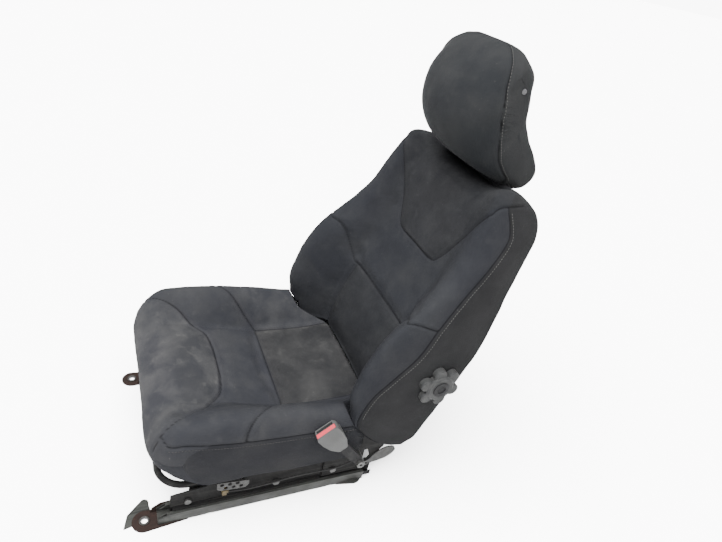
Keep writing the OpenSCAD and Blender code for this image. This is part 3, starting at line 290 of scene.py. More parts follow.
def back_face(x, v):
    f = v / BACK_H
    ax = np.abs(x)
    hw = back_half(v)
    cx = hw - BACK_CREST_IN
    ix = np.minimum(INSERT_HW, cx - 30)
    mid, edge = FACE_N * along(BACK_MID, f), FACE_N * along(BACK_EDGE, f)
    crest, seam = BOLSTER_N * along(BACK_CREST, f), BOLSTER_N * along(BACK_SEAM, f)
    inner = mix(mid, edge, np.minimum(ax / ix, 1) ** 2)
    rise = mix(edge, crest, smooth(ix - 8, cx, ax))
    fall = np.clip((ax - cx) / (hw - cx), 0, 1)
    roll = seam + (crest - seam) * np.sqrt(1 - fall ** 2)
    return np.where(ax <= ix, inner, np.where(ax <= cx, rise, roll))


def back_low(x, n):
    return HINGE_V - np.sqrt(np.maximum(0, gap_r(x) ** 2 - (n - HINGE_N) ** 2))


def back_rear(x, v):
    low = HINGE_V - gap_r(x)
    return -REAR_N * mix(LOW_SHARE, 1, smooth(low, low + LOW_RUN, v))


def back_sink(x, v):
    return TOP_DROP * (1 - smooth(90, 150, np.abs(x))) * smooth(BACK_H * 0.75, BACK_H, v)


def back_rings():
    inner, outer, n_high, n_rear = BACK_COLUMNS
    top_x = spread(1, 0.16, inner, outer)
    side_t = np.linspace(0, 1, n_high)[1:-1]
    rear_x = np.linspace(1, -1, n_rear)
    s = np.concatenate([top_x, np.ones(len(side_t)), rear_x, -np.ones(len(side_t))])
    w = np.concatenate([np.zeros(len(top_x)), side_t, np.ones(len(rear_x)), side_t[::-1]])
    # 0 on the front, 1 on the sides, 2 behind
    region = np.concatenate([np.zeros(len(top_x)), np.ones(len(side_t)), np.full(len(rear_x), 2),
                             np.ones(len(side_t))])
    x0 = s * BACK_HW
    low_face = back_face(x0, np.full_like(x0, BACK_MID[1][0] * BACK_H))
    v0 = back_low(x0, mix(low_face, -REAR_N * LOW_SHARE, w))
    rings = []
    low_x = s * back_half(v0)
    first = np.column_stack([x0 * back_half(v0) / BACK_HW, v0,
                             mix(back_face(low_x, v0), back_rear(low_x, v0), w)])
    middle = mix(back_rear(first[:, 0], v0), back_face(first[:, 0], v0), 0.45)
    for q in (0.1, 0.3, 0.5, 0.7, 0.86, 0.95):
        n = mix(middle, first[:, 2], q)
        rings.append(np.column_stack([first[:, 0], back_low(x0, n), n]))
    for t in np.linspace(0, 1, 52):
        v = mix(v0, BACK_STRAIGHT, t)
        x = s * back_half(v)
        n = mix(back_face(x, v), back_rear(x, v), w)
        bulge = BACK_BULGE * np.sin(np.pi * w) * (region == 1)
        rings.append(np.column_stack([x + np.sign(x) * bulge, v, n]))
    straight = np.linspace(BACK_STRAIGHT, BACK_H - FRONT_ROUND, 152)
    turn = FRONT_ROUND * (1 - np.cos(np.linspace(math.pi / 2, 0.04, 20)))
    for v in np.concatenate([straight[1:], BACK_H - turn[1:]]):
        vv = np.full_like(s, v)
        x = s * back_half(vv)
        front = mix(CROWN_N, back_face(x, vv), quarter((BACK_H - v) / FRONT_ROUND))
        rear = mix(CROWN_N, -REAR_N, quarter((BACK_H - v) / REAR_ROUND))
        taper = REAR_TAPER * smooth(BACK_H * 0.2, BACK_H * 0.7, v) * w
        bulge = (BACK_BULGE * np.sin(np.pi * w) * (region == 1)
                 * smooth(BACK_H, BACK_H * 0.8, v))
        rings.append(np.column_stack([x * (1 - taper) + np.sign(x) * bulge,
                                      vv - back_sink(x, vv), mix(front, rear, w)]))
    return np.array(rings), w, region


# ------------------------------------------------------------------ head restraint form
HEAD_FRONT = [[0.04, 0], [0.32, 0.015], [0.56, 0.045], [0.765, 0.155], [0.89, 0.315],
              [0.935, 0.505], [0.915, 0.71], [0.85, 0.88], [0.69, 1]]
HEAD_BACK = [[0.02, 0], [-0.08, 0.055], [-0.115, 0.2], [-0.015, 0.345], [0.165, 0.46], [0.3, 0.59],
             [0.39, 0.77], [0.5, 0.92], [0.68, 1]]
# how square a section across the head restraint is in front, behind, on top and below
FRONT_POWER, REAR_POWER, HIGH_POWER, FOOT_POWER = 2.4, 6, 3.6, 7
FRONT_REACH, REACH = 0.97, 0.95

# the seam on the head restraint's sides (n, v), and over its crown (x, v, n)
HEAD_SEAM = [(191, 576), (180, 556), (166, 531), (143, 499), (112, 464), (85, 448), (64, 438),
             (48, 415)]
CROWN_SEAM = [(0, 649, 181), (30, 648, 182.5), (56, 645.7, 185), (76.4, 637.4, 191.3),
              (93.8, 627.4, 195.8), (106, 616.6, 197.6), (113.5, 605, 197.5), (118.3, 593.9, 196),
              (122.6, 575.5, 191.2)]


def track(points, t):
    at = np.linspace(0, 1, len(points))
    p = np.array(points)
    return np.column_stack([along(np.column_stack([at, p[:, 0]]), t),
                            along(np.column_stack([at, p[:, 1]]), t)]) * HEAD_H


def head_rings():
    levels = np.linspace(0, 1, HEAD_LEVELS)
    t = np.concatenate([levels, levels[::-1][1:-1]])
    row = np.concatenate([np.ones(HEAD_LEVELS), -np.ones(HEAD_LEVELS - 2)])
    f, b = track(HEAD_FRONT, t), track(HEAD_BACK, t)
    m = mix(b, f, 0.42)
    c = HEAD_H / 2

    def ring(s, x, q=1):
        k = np.where(row > 0, oval(s * FRONT_REACH, FRONT_POWER), oval(s * REACH, REAR_POWER))
        p = m + (np.where(row[:, None] > 0, f, b) - m) * k[:, None]
        v = c + (p[:, 1] - c) * np.where(p[:, 1] > c, oval(s * REACH, HIGH_POWER),
                                         oval(s * REACH, FOOT_POWER))
        n = p[:, 0]
        if q < 1:
            n, v = mix(n.mean(), n, q), mix(v.mean(), v, q)
        return np.column_stack([np.full_like(n, x), HEAD_V + v, POST_N + n])

    hw = HEAD_W / 2
    ends = [(1, hw + HEAD_BULGE * math.sqrt(1 - q * q), q)
            for q in (0.12, 0.3, 0.5, 0.68, 0.82, 0.92, 0.975)]
    edge = [math.sin(a) for a in np.linspace(math.pi / 2, 0.75, 26)]
    mids = np.linspace(edge[-1], 0, 30)[1:]
    half = ends + [(s, s * hw, 1) for s in edge] + [(s, s * hw, 1) for s in mids]
    other_half = [(s, -x, q) for s, x, q in half[:-1]][::-1]
    return np.array([ring(s, x, q) for s, x, q in half + other_half])


# ------------------------------------------------------------------ frames of reference
def to_world(local):
    """Backrest coordinates (x, up the backrest, out of its front) to the part's frame, in mm."""
    x, v, n = local[..., 0], local[..., 1] - HINGE_V, local[..., 2] - HINGE_N
    a = math.pi / 2 - RECLINE
    return np.stack([x, HINGE_Y + v * math.cos(a) - n * math.sin(a),
                     HINGE_Z + v * math.sin(a) + n * math.cos(a)], axis=-1)


# ------------------------------------------------------------------ meshes
def loft_faces(r, c):
    i, j = np.meshgrid(np.arange(r - 1), np.arange(c), indexing="ij")
    a, b = i * c + j, i * c + (j + 1) % c
    quads = np.stack([a, b, b + c, a + c], axis=-1).reshape(-1, 4).tolist()
    first, last = r * c, r * c + 1
    caps = [[(k + 1) % c, k, first] for k in range(c)]
    caps += [[(r - 1) * c + k, (r - 1) * c + (k + 1) % c, last] for k in range(c)]
    return quads + caps


def loft_verts(rings):
    flat = rings.reshape(-1, 3)
    return np.vstack([flat, rings[0].mean(axis=0), rings[-1].mean(axis=0)])


def add_mesh(name, verts_mm, faces, smooth_faces=True):
    me = bpy.data.meshes.new(name)
    me.from_pydata((np.asarray(verts_mm) * MM).tolist(), [], faces)
    bm = bmesh.new()
    bm.from_mesh(me)
    bmesh.ops.recalc_face_normals(bm, faces=bm.faces)
    for face in bm.faces:
        face.smooth = smooth_faces
    bm.to_mesh(me)
    bm.free()
    ob = bpy.data.objects.new(name, me)
    bpy.context.scene.collection.objects.link(ob)
    return ob


def set_attribute(ob, name, values):
    layer = ob.data.attributes.new(name, "FLOAT", "POINT")
    layer.data.foreach_set("value", np.asarray(values, np.float32))


def vertex_normals(ob):
    out = np.empty(len(ob.data.vertices) * 3, np.float32)
    ob.data.vertex_normals.foreach_get("vector", out)
    return out.reshape(-1, 3)


def get_points(ob):
    out = np.empty(len(ob.data.vertices) * 3, np.float32)
    ob.data.vertices.foreach_get("co", out)
    return out.reshape(-1, 3).astype(float)


def set_points(ob, co):
    ob.data.vertices.foreach_set("co", co.astype(np.float32).ravel())
    ob.data.update()


def puff(rings, pinned, step, cap, pressure=4.0, frames=20):
    """Cloth under pressure on every step-th vertex, pinned on the seams; its moves, of at most
    cap millimetres, are spread back over the dense rings."""
    ri = np.unique(np.append(np.arange(0, rings.shape[0], step), rings.shape[0] - 1))
    ci = np.arange(0, rings.shape[1], step)
    coarse = rings[np.ix_(ri, ci)]
    pin = pinned[np.ix_(ri, ci)]
    ob = add_mesh("puff", loft_verts(coarse), loft_faces(len(ri), len(ci)))
    group = ob.vertex_groups.new(name="pin")
    weights = np.append(pin.ravel(), [1, 1])
    for i in np.nonzero(weights > 0.01)[0]:
        group.add([int(i)], float(weights[i]), "REPLACE")
    mod = ob.modifiers.new("cloth", "CLOTH")
    cloth = mod.settings
    cloth.quality = 5
    cloth.mass = 0.3
    cloth.tension_stiffness = cloth.compression_stiffness = 12
    cloth.bending_stiffness = 1.2
    cloth.use_pressure = True
    cloth.uniform_pressure_force = pressure
    cloth.vertex_group_mass = "pin"
    cloth.effector_weights.gravity = 0
    mod.collision_settings.use_collision = False
    scene = bpy.context.scene
    for f in range(1, frames + 1):
        scene.frame_set(f)
    done = ob.evaluated_get(bpy.context.evaluated_depsgraph_get())
    co = np.empty(len(done.data.vertices) * 3, np.float32)
    done.data.vertices.foreach_get("co", co)
    scene.frame_set(1)
    moved = co.reshape(-1, 3)[:-2].reshape(len(ri), len(ci), 3) / MM - coarse
    size = np.linalg.norm(moved, axis=2, keepdims=True)
    moved = moved * np.minimum(1, cap / np.maximum(size, 1e-6))
    bpy.data.objects.remove(ob, do_unlink=True)
    # spread over the rings, then over the columns, which close on themselves
    r_all, c_all = np.arange(rings.shape[0]), np.arange(rings.shape[1])
    rows = np.stack([[np.interp(r_all, ri, moved[:, j, k]) for j in range(len(ci))]
                     for k in range(3)])
    wrap = np.append(ci, rings.shape[1])
    full = np.empty_like(rings)
    for k in range(3):
        m = np.vstack([rows[k], rows[k][:1]])
        for r in range(rings.shape[0]):
            full[r, :, k] = np.interp(c_all, wrap, m[:, r])
    for _ in range(step):
        full[1:-1] = (full[2:] + full[:-2] + 2 * full[1:-1]) / 4
        full = (np.roll(full, 1, 1) + np.roll(full, -1, 1) + 2 * full) / 4
    return full


def puffed(rings, pinned, step, cap):
    return rings + puff(rings, pinned, step, cap)


def prism(name, x0, x1, outline):
    """Solid along X from an outline in the Y-Z plane, in mm."""
    n = len(outline)
    verts = [(x0, y, z) for y, z in outline] + [(x1, y, z) for y, z in outline]
    faces = [list(range(n)), list(range(2 * n - 1, n - 1, -1))]
    faces += [[i, (i + 1) % n, n + (i + 1) % n, n + i] for i in range(n)]
    return add_mesh(name, verts, faces, False)


def circle_at(y, z, r, count=40):
    return [(y + r * math.cos(t), z + r * math.sin(t))
            for t in np.linspace(0, 2 * math.pi, count + 1)[:-1]]


def cut(ob, cutters):
    for c in cutters:
        mod = ob.modifiers.new("cut", "BOOLEAN")
        mod.operation = "DIFFERENCE"
        mod.solver = "MANIFOLD"
        mod.object = c
    graph = bpy.context.evaluated_depsgraph_get()
    me = bpy.data.meshes.new_from_object(ob.evaluated_get(graph), preserve_all_data_layers=True,
                                         depsgraph=graph)
    ob.modifiers.clear()
    ob.data = me
    for c in cutters:
        bpy.data.objects.remove(c, do_unlink=True)


# ------------------------------------------------------------------ node helpers
class Nodes:
    def __init__(self, name):
        self.mat = bpy.data.materials.new(name)
        self.mat.use_nodes = True
        self.tree = self.mat.node_tree
        self.bsdf = self.tree.nodes["Principled BSDF"]
        self.coord = self.tree.nodes.new("ShaderNodeTexCoord").outputs["Object"]

    def new(self, kind, **values):
        node = self.tree.nodes.new("ShaderNode" + kind)
        for key, value in values.items():
            if key in node.inputs:
                node.inputs[key].default_value = value
            else:
                setattr(node, key, value)
        return node

    def link(self, a, b):
        self.tree.links.new(a, b)

    def noise(self, scale, detail=3.0, rough=0.55, distortion=0.0, stretch=None):
        node = self.new("TexNoise", Scale=scale, Detail=detail, Roughness=rough,
                        Distortion=distortion)
        if stretch:
            mapping = self.new("Mapping")
            mapping.inputs["Scale"].default_value = stretch
            self.link(self.coord, mapping.inputs["Vector"])
            self.link(mapping.outputs[0], node.inputs["Vector"])
        else:
            self.link(self.coord, node.inputs["Vector"])
        return node.outputs["Fac"]

    def attribute(self, name):
        return self.new("Attribute", attribute_name=name).outputs["Fac"]

    def ramp(self, fac, a, b, low=0.0, high=1.0):
        node = self.new("MapRange", clamp=True)
        for key, value in (("From Min", a), ("From Max", b), ("To Min", low), ("To Max", high)):
            node.inputs[key].default_value = value
        self.link(fac, node.inputs["Value"])
        return node.outputs["Result"]

    def math(self, op, a, b):
        node = self.new("Math", operation=op)
        for socket, value in zip(node.inputs, (a, b)):
            if isinstance(value, (int, float)):
                socket.default_value = value
            else:
                self.link(value, socket)
        return node.outputs[0]

    def mix(self, fac, a, b, blend="MIX"):
        node = self.new("Mix", data_type="RGBA", blend_type=blend)
        # sockets 6 and 7 are the two colours of an RGBA mix
        for socket, value in ((node.inputs[0], fac), (node.inputs[6], a), (node.inputs[7], b)):
            if isinstance(value, (int, float)):
                socket.default_value = value
            elif isinstance(value, tuple):
                socket.default_value = (*value, 1)
            else:
                self.link(value, socket)
        return node.outputs[2]

    def bump(self, height, distance, strength=1.0, below=None):
        node = self.new("Bump", Distance=distance, Strength=strength)
        self.link(height, node.inputs["Height"])
        if below:
            self.link(below, node.inputs["Normal"])
        return node.outputs["Normal"]

    def finish(self, color, roughness, normal=None, **fixed):
        self.link(color, self.bsdf.inputs["Base Color"])
        if isinstance(roughness, (int, float)):
            self.bsdf.inputs["Roughness"].default_value = roughness
        else:
            self.link(roughness, self.bsdf.inputs["Roughness"])
        if normal:
            self.link(normal, self.bsdf.inputs["Normal"])
        for key, value in fixed.items():
            self.bsdf.inputs[key.replace("_", " ")].default_value = value
        return self.mat


# scales of the cloth's noises, per metre
WEAVE, BLOTCH, SMUDGE, DAUB, SPECK, CREASE, PULLED = 1500, 9, 15, 36, 160, 45, 105
SEAM_LINE = (0.0012, 0.0012, 0.0014)


def cloth_material(name, base, dark, dust, side):
    """Woven cloth: weave, worn blotches, dust and stains; dark along the seams."""
    n = Nodes(name)
    weave_a = n.noise(WEAVE, 1.0, 0.4, stretch=(1, 0.35, 1))
    weave_b = n.noise(WEAVE, 1.0, 0.4, stretch=(0.35, 1, 1))
    weave = n.math("ADD", weave_a, weave_b)
    color = n.mix(n.attribute("panel"), base, dark)
    color = n.mix(n.attribute("side"), color, side)
    color = n.mix(n.ramp(weave, 0.75, 1.3, 0.0, 0.5), color, tuple(1.5 * c for c in base))
    blotch = n.ramp(n.noise(BLOTCH, 5, 0.6), 0.42, 0.72, 0, 0.3)
    color = n.mix(blotch, color, dust)
    smudge = n.math("ADD", n.ramp(n.noise(SMUDGE, 5, 0.6, 0.25), 0.42, 0.68, 0.1, 0.5),
                    n.ramp(n.noise(DAUB, 4, 0.55, 0.4), 0.6, 0.7, 0, 0.25))
    dusted = n.math("MULTIPLY", smudge, n.attribute("dusty"))
    color = n.mix(dusted, color, tuple(1.7 * c for c in dust))
    speck = n.ramp(n.noise(SPECK, 2, 0.5), 0.72, 0.8, 0, 0.5)
    color = n.mix(speck, color, tuple(1.6 * c for c in dust))
    color = n.mix(n.ramp(n.attribute("seam"), 0.35, 0.95, 0, 0.8), color, SEAM_LINE)
    normal = n.bump(weave, 0.0006, 0.5)
    normal = n.bump(n.noise(CREASE, 4, 0.6), 0.0022, 0.35, normal)
    pulled = n.math("MULTIPLY", n.noise(PULLED, 1, 0.4, 0.6, stretch=(1, 0.3, 1)),
                    n.attribute("pull"))
    normal = n.bump(pulled, 0.012, 0.9, normal)
    roughness = n.ramp(blotch, 0, 0.3, 0.88, 0.96)
    return n.finish(color, roughness, normal, Specular_IOR_Level=0.02)


def plain_material(name, base, rough=0.5, metal=0.0, wear=None, grain=600, grain_depth=0.0002,
                   dirt=0.25, dirt_color=(0.05, 0.047, 0.043), blotch=14, streak=None,
                   edge=0.0012, **fixed):
    """Painted metal, bare metal or moulded plastic with grain, dirt, worn patches, painted
    reflection streaks along the length that are partly dirt, and edges that look rounded. Grain and
    blotch are noise scales per metre, depth and edge in metres."""
    n = Nodes(name)
    fine = n.noise(grain, 2, 0.5)
    grain_color = tuple(min(1, 1.35 * c + 0.002) for c in base)
    color = n.mix(n.ramp(fine, 0.35, 0.7, 0, 0.35), base, grain_color)
    patch = n.ramp(n.noise(blotch, 6, 0.65, 0.4), 0.45, 0.75, 0, dirt)
    color = n.mix(patch, color, dirt_color)
    if wear:
        worn = n.ramp(n.noise(blotch * 4, 5, 0.7), 0.6, 0.68, 0, 0.8)
        color = n.mix(worn, color, wear)
    if streak:
        # streaks along the length: painted reflection lines, partly dirt
        lines = n.ramp(n.noise(260, 3, 0.5, 0.3, stretch=(1, 0.03, 1)), 0.52, 0.66, 0, 0.7)
        color = n.mix(lines, color, streak)
    roughness = n.ramp(n.noise(blotch * 2, 4, 0.6), 0.3, 0.7, max(0.05, rough - 0.12),
                       min(1, rough + 0.12))
    rounded = n.new("Bevel", Radius=edge, samples=4).outputs[0]
    normal = n.bump(fine, grain_depth, 0.6, rounded)
    return n.finish(color, roughness, normal, Metallic=metal, IOR=1.25, **fixed)


# ------------------------------------------------------------------ soft pieces
def dress(ob, seam_distance, side, panel, seam_depth, wrinkle, swell, **marks):
    """Grooves along the seams, wrinkles, swell and the attributes that the cloth reads.
    The last two vertices close the ends, where there is no seam."""
    d = np.append(seam_distance.ravel(), [FAR, FAR])
    co = get_points(ob) / MM
    nor = vertex_normals(ob)
    groove = -seam_depth * bell(d, GROOVE_W) + WELT_H * bell(d - WELT_AT, WELT_W)
    near = bell(d, FOLD_REACH)
    folds = wrinkle * (ripple(co, 70, 3) + 0.6 * near * ripple(co, 26, 5)
                       + 0.35 * ripple(co, 34, 11))
    shift = groove + folds * (1 - bell(d, FLAT_REACH)) + np.append(swell.ravel(), [0, 0])
    set_points(ob, (co + nor * shift[:, None]) * MM)
    set_attribute(ob, "seam", bell(d, LINE_W))
    for name, values in dict(side=side, panel=panel, **marks).items():
        set_attribute(ob, name, np.append(values.ravel(), [0, 0]))


def grid(values, rings):
    return np.broadcast_to(values, rings.shape[:2])


# the seat's seams from above (x, y): the cross seam, and the left half of the others
SEAT_ARM = [(208, -198), (204, -184), (196, -168), (184, -148), (162, -120), (134, -97),
            (108, -73), (84, -63), (40, -58)]
SEAT_CROSS = [(-130, 64), (-45, 61), (45, 61), (130, 64)]
SEAT_PANEL = [(130, 64), (130, 130), (130, 200), (130, 270)]
SEAT_BRANCH = [(130, 64), (160, 38), (200, 5), (226, -24), (250, -52)]
# where the skirt's seam turns up to the front seam, and on down from there (x, y, z)
SKIRT_TURN = [(243, -100, 234.5), (243, -118, 238), (242, -138, 242), (239.7, -156, 243.5),
              (234.6, -177, 239), (230, -185.5, 238), (221.5, -192.4, 242.8), (208, -198, 248)]
SKIRT_DROP = [(208, -198, 248), (211, -204.7, 234), (212, -209, 223), (212, -211, 212)]
SKIRT_SEAM_Y = -106
# the front panel's edge: half its width at places along the seat
U_EDGE = [(-200, 208), (-184, 204), (-168, 196), (-148, 184), (-120, 162), (-97, 134), (-73, 108),
          (-58, 0)]
# room under the cushion for the pan, and at its left side before the hinge
PAN_HW, PAN_FRONT_Z, PAN_REAR_Z, PAN_END = 222, 166, 137, 117
NOTCH_X, NOTCH_LEAD, NOTCH_Z = (221.9, 262), (154, 94), (84, 124)


def make_seat():
    rings, w, region = seat_rings()
    px, py = rings[..., 0], rings[..., 1]
    top, rim_w = grid(region == 0, rings), grid(w, rings)
    lines = [[(-a, b) for a, b in SEAT_ARM] + [(0, -57.5)] + SEAT_ARM[::-1], SEAT_CROSS]
    lines += both_sides(SEAT_PANEL) + both_sides(SEAT_BRANCH)
    d = np.where(top, nearest(rings[..., :2], lines), FAR)
    # the skirt's seam runs along the rim and turns up to the front seam at each front corner
    rim = np.hypot(rings[..., 2] - seat_top(np.full_like(py, SEAT_HW), py),
                   np.maximum(0, SEAT_HW - np.abs(px)) * 1.4)
    rim = np.where(grid(region == 2, rings) | (py < SKIRT_SEAM_Y), FAR, rim)
    d = np.minimum(np.minimum(d, rim), nearest(folded(rings), [SKIRT_TURN, SKIRT_DROP]))
    pin = bell(d, PIN_REACH)
    pin = np.maximum(pin, grid(region == 2, rings) * 1.0)
    pin = np.maximum(pin, grid(region == 1, rings) * smooth(0.5, 1, rim_w))
    pin[-8:] = 1
    shaped = puffed(rings, pin, 4, 5.0)
    ob = add_mesh("seat_cover", loft_verts(shaped), loft_faces(*rings.shape[:2]))
    panel = ((np.abs(px) < INSERT_HW) & (py > 62) & top) * 1.0
    side = grid(region == 1, rings) * 0.6 * smooth(-212, -150, py)
    # dust on the front panel, the middle panel and the right bolster behind the cross seam
    u_half = np.interp(py, *zip(*U_EDGE))
    in_u = smooth(12, -12, np.abs(px) - u_half) * smooth(-52, -64, py)
    bolster = smooth(60, 66, py) * smooth(-100, -INSERT_HW, px)
    dusty = (0.22 + 0.55 * in_u + 0.3 * bolster + 0.15 * panel) * top
    # the cloth sinks where the middle panel is sewn down
    foot = line_distance(rings[..., :2], [(-130, 270), (-130, 64), (130, 64), (130, 270)])
    swell = -2.5 * top * bell(foot, 12)
    dress(ob, d, side, panel, 3.0, 0.55, swell, dusty=dusty)
    below = SKIRT_Z - 20
    pan = prism("pan_room", -PAN_HW, PAN_HW, [
        (NOSE_Y + 42, below), (HINGE_Y, below), (HINGE_Y, PAN_REAR_Z),
        (HINGE_Y - PAN_END, PAN_REAR_Z), (NOSE_Y + 48, PAN_FRONT_Z),
        (NOSE_Y + 42, PAN_FRONT_Z - 4)])
    y0, y1 = (HINGE_Y - lead for lead in NOTCH_LEAD)
    z0, z1 = NOTCH_Z
    notch = prism("notch", *NOTCH_X, [(y0, z0), (y1, z0), (y1, z1), (y0, z1)])
    cut(ob, [pan, notch])
    return ob


# the backrest's seams from the front (x, v): round the upper panel and across below it, the
# left half of those beside the lower panel and over the bolsters, and the shoulder's (x, v, n)
YOKE = [(-190, 378), (-166, 345), (-128, 280), (-97, 228), (-72, 208), (0, 206), (72, 208),
        (97, 228), (128, 280), (166, 345), (190, 378)]
BACK_CROSS = [(-129.5, 57), (-45, 55), (45, 55), (129.5, 57)]
BACK_PANEL = [(129.5, 57), (129.5, 0), (129.5, -70), (129.5, -150)]
BACK_BRANCH = [(129.5, 57), (138, 58), (150, 72), (163, 88), (178, 107), (192, 118), (207, 122),
               (221, 121), (230, 125), (240, 131), (256, 135)]
SHOULDER_SEAM = [(188, 375, 111), (190.4, 378.6, 110.8), (192.3, 387.4, 109.3), (196.3, 399, 102),
                 (197, 406.5, 85.4), (190, 412, 65), (182.4, 417, 44.4)]
BACK_FOOT = [(207, 122), (178, 107), (150, 72), (129.5, 57), (129.5, -150)]
# the upper panel's edge: its height at places across the backrest
YOKE_EDGE = [(0, 206), (72, 208), (97, 228), (128, 280), (166, 345), (196, 405), (240, 500)]
RIM_END_V = 402
PANEL_HW = 129.5
# room in the padding for the frame, the side plates, the recliner and its shaft, and the
# posts' bores by height and radius
FRAME_HW, YOKE_HW, BEHIND_N, HOLLOW_N = 205, 165, -60, 38
PLATE_X, GEAR_ROOM_R, SHAFT_BORE_R = (198, 221), 56, 9
POST_BORES = ((-60, 8, 10.3), (0, 40, 17.5))


def side_view(v, n):
    """A place on the backrest's middle plane as (y, z) of the part's frame."""
    return tuple(to_world(np.array([0.0, v, n]))[1:])


def box_view(v0, v1, n0, n1):
    return [side_view(v0, n0), side_view(v1, n0), side_view(v1, n1), side_view(v0, n1)]


def back_cutters():
    """Room in the padding for the frame, the side plates, the recliner and the posts."""
    cutters = [
        prism("hollow", -FRAME_HW, FRAME_HW, box_view(-215, 115, BEHIND_N, HOLLOW_N)),
        prism("hollow_top", -YOKE_HW, YOKE_HW, box_view(100, 353, BEHIND_N, HOLLOW_N - 1))]
    r = END_OUT + 20
    a = math.radians(36)
    v, n = HINGE_V, HINGE_N
    for x0, x1 in (PLATE_X, (-PLATE_X[1], -PLATE_X[0])):
        cutters.append(prism("slot", x0, x1, [
            side_view(v + 48, -73), side_view(v + 48, n + 4), side_view(v + 30, n + 30),
            side_view(v + 4, n + 48), side_view(v - r * math.cos(a), n + r * math.sin(a)),
            side_view(v - r * 1.2, n), side_view(v - r, -73)]))
        cutters.append(prism("slot_round", x0, x1, circle_at(HINGE_Y, HINGE_Z, GEAR_ROOM_R)))
    cutters.append(prism("shaft_bore", 200, BACK_HW + 15,
                         circle_at(HINGE_Y, HINGE_Z, SHAFT_BORE_R)))
    for x in (-POST_W / 2, POST_W / 2):
        for low, high, rad in POST_BORES:
            hole = prism("post_hole", BACK_TOP + low, BACK_TOP + high,
                         circle_at(x, POST_N, rad, 24))
            set_points(hole, to_world(get_points(hole)[:, [1, 0, 2]] / MM) * MM)
            hole.data.flip_normals()
            cutters.append(hole)
    return cutters


def make_back():
    rings, w, region = back_rings()
    px, pv, pn = rings[..., 0], rings[..., 1], rings[..., 2]
    front = grid(region == 0, rings)
    lines = [YOKE, BACK_CROSS] + both_sides(BACK_PANEL) + both_sides(BACK_BRANCH)
    d = np.where(front, nearest(rings[..., :2], lines), FAR)
    # the seam round the rim, at the height where the front meets the side
    corner = int(np.nonzero(region == 1)[0][0]) - 1
    seam_n = rings[:, corner:corner + 1, 2]
    rim = np.where(grid(region == 1, rings), np.abs(pn - seam_n), FAR)
    rim = np.where(front, np.hypot(np.abs(px) - back_half(pv), pn - seam_n), rim)
    rim = np.where(pv > RIM_END_V, FAR, rim)
    # the panel's seam goes on over the shoulder
    d = np.minimum(np.minimum(d, rim), line_distance(folded(rings), SHOULDER_SEAM))
    pin = bell(d, PIN_REACH)
    pin = np.maximum(pin, grid(region == 2, rings) * 1.0)
    pin = np.maximum(pin, grid(region == 1, rings) * smooth(0.7, 1, grid(w, rings)))
    pin[:8] = 1
    pin[-3:] = 1
    shaped = puffed(rings, pin, 4, 5.0)
    ob = add_mesh("back_cover", loft_verts(to_world(shaped)), loft_faces(*rings.shape[:2]))
    v_edge = np.interp(np.abs(px), *zip(*YOKE_EDGE))
    panel = (((pv > v_edge) | ((np.abs(px) < PANEL_HW) & (pv < 56))) & front) * 1.0
    side = grid(region == 1, rings) * 1.0
    dusty = 0.1 + 0.1 * front + 0.15 * panel * (pv > 200)
    # the worn padding stands proud at the right shoulder and sinks along the lower seams
    shoulder = (smooth(0.55, 0.93, -px / back_half(pv)) * smooth(10, 70, pn)
                * bell(pv - 312, 75))
    foot = nearest(rings[..., :2], both_sides(BACK_FOOT) + [[(-PANEL_HW, 57), (PANEL_HW, 57)]])
    swell = 13 * shoulder - 3.5 * front * bell(foot, 13)
    dress(ob, d, side, panel, 3.2, 0.5, swell, dusty=dusty)
    cut(ob, back_cutters())
    return ob


def make_head():
    rings = head_rings()
    px, pv, pn = rings[..., 0], rings[..., 1], rings[..., 2]
    on_side = np.abs(px) > 100
    d = np.where(on_side & (pv < 577), line_distance(np.stack([pn, pv], axis=-1), HEAD_SEAM), FAR)
    d = np.minimum(d, line_distance(folded(rings), CROWN_SEAM))
    pin = bell(d, PIN_REACH)
    pin[:2] = 1
    pin[-2:] = 1
    shaped = puffed(rings, pin, 3, 3.0)
    ob = add_mesh("head_cover", loft_verts(to_world(shaped)), loft_faces(*rings.shape[:2]))
    # behind the seam lies the gusset, with its pulled wrinkles
    seam_at = np.interp(pv, [p[1] for p in HEAD_SEAM[::-1]] + [616, 637, 648],
                        [p[0] for p in HEAD_SEAM[::-1]] + [197.6, 191, 181])
    behind = seam_at - pn
    gusset = smooth(-2, 2, behind)
    pull = gusset * on_side * bell(behind, 30)
    pull = pull * (0.25 * smooth(445, 480, pv) * smooth(600, 560, pv) + bell(pv - 533, 22))
    zero = np.zeros_like(pv)
    # fuller at the rear of the crown, flatter before its seam
    swell = (6 * smooth(596, 625, pv) * smooth(-5, 20, behind)
             - 3 * smooth(560, 610, pv) * smooth(0, 25, -behind))
    dress(ob, d, gusset * 0.45, zero, 2.0, 0.4, swell, dusty=zero + 0.2, pull=pull)
    return ob


# a stitch along its length: where its sections lie, their radius and their height
STITCH = ((0, 0.35, -0.5), (0.15, 0.9, 0.3), (0.5, 1, 0.6), (0.85, 0.9, 0.3), (1, 0.35, -0.5))


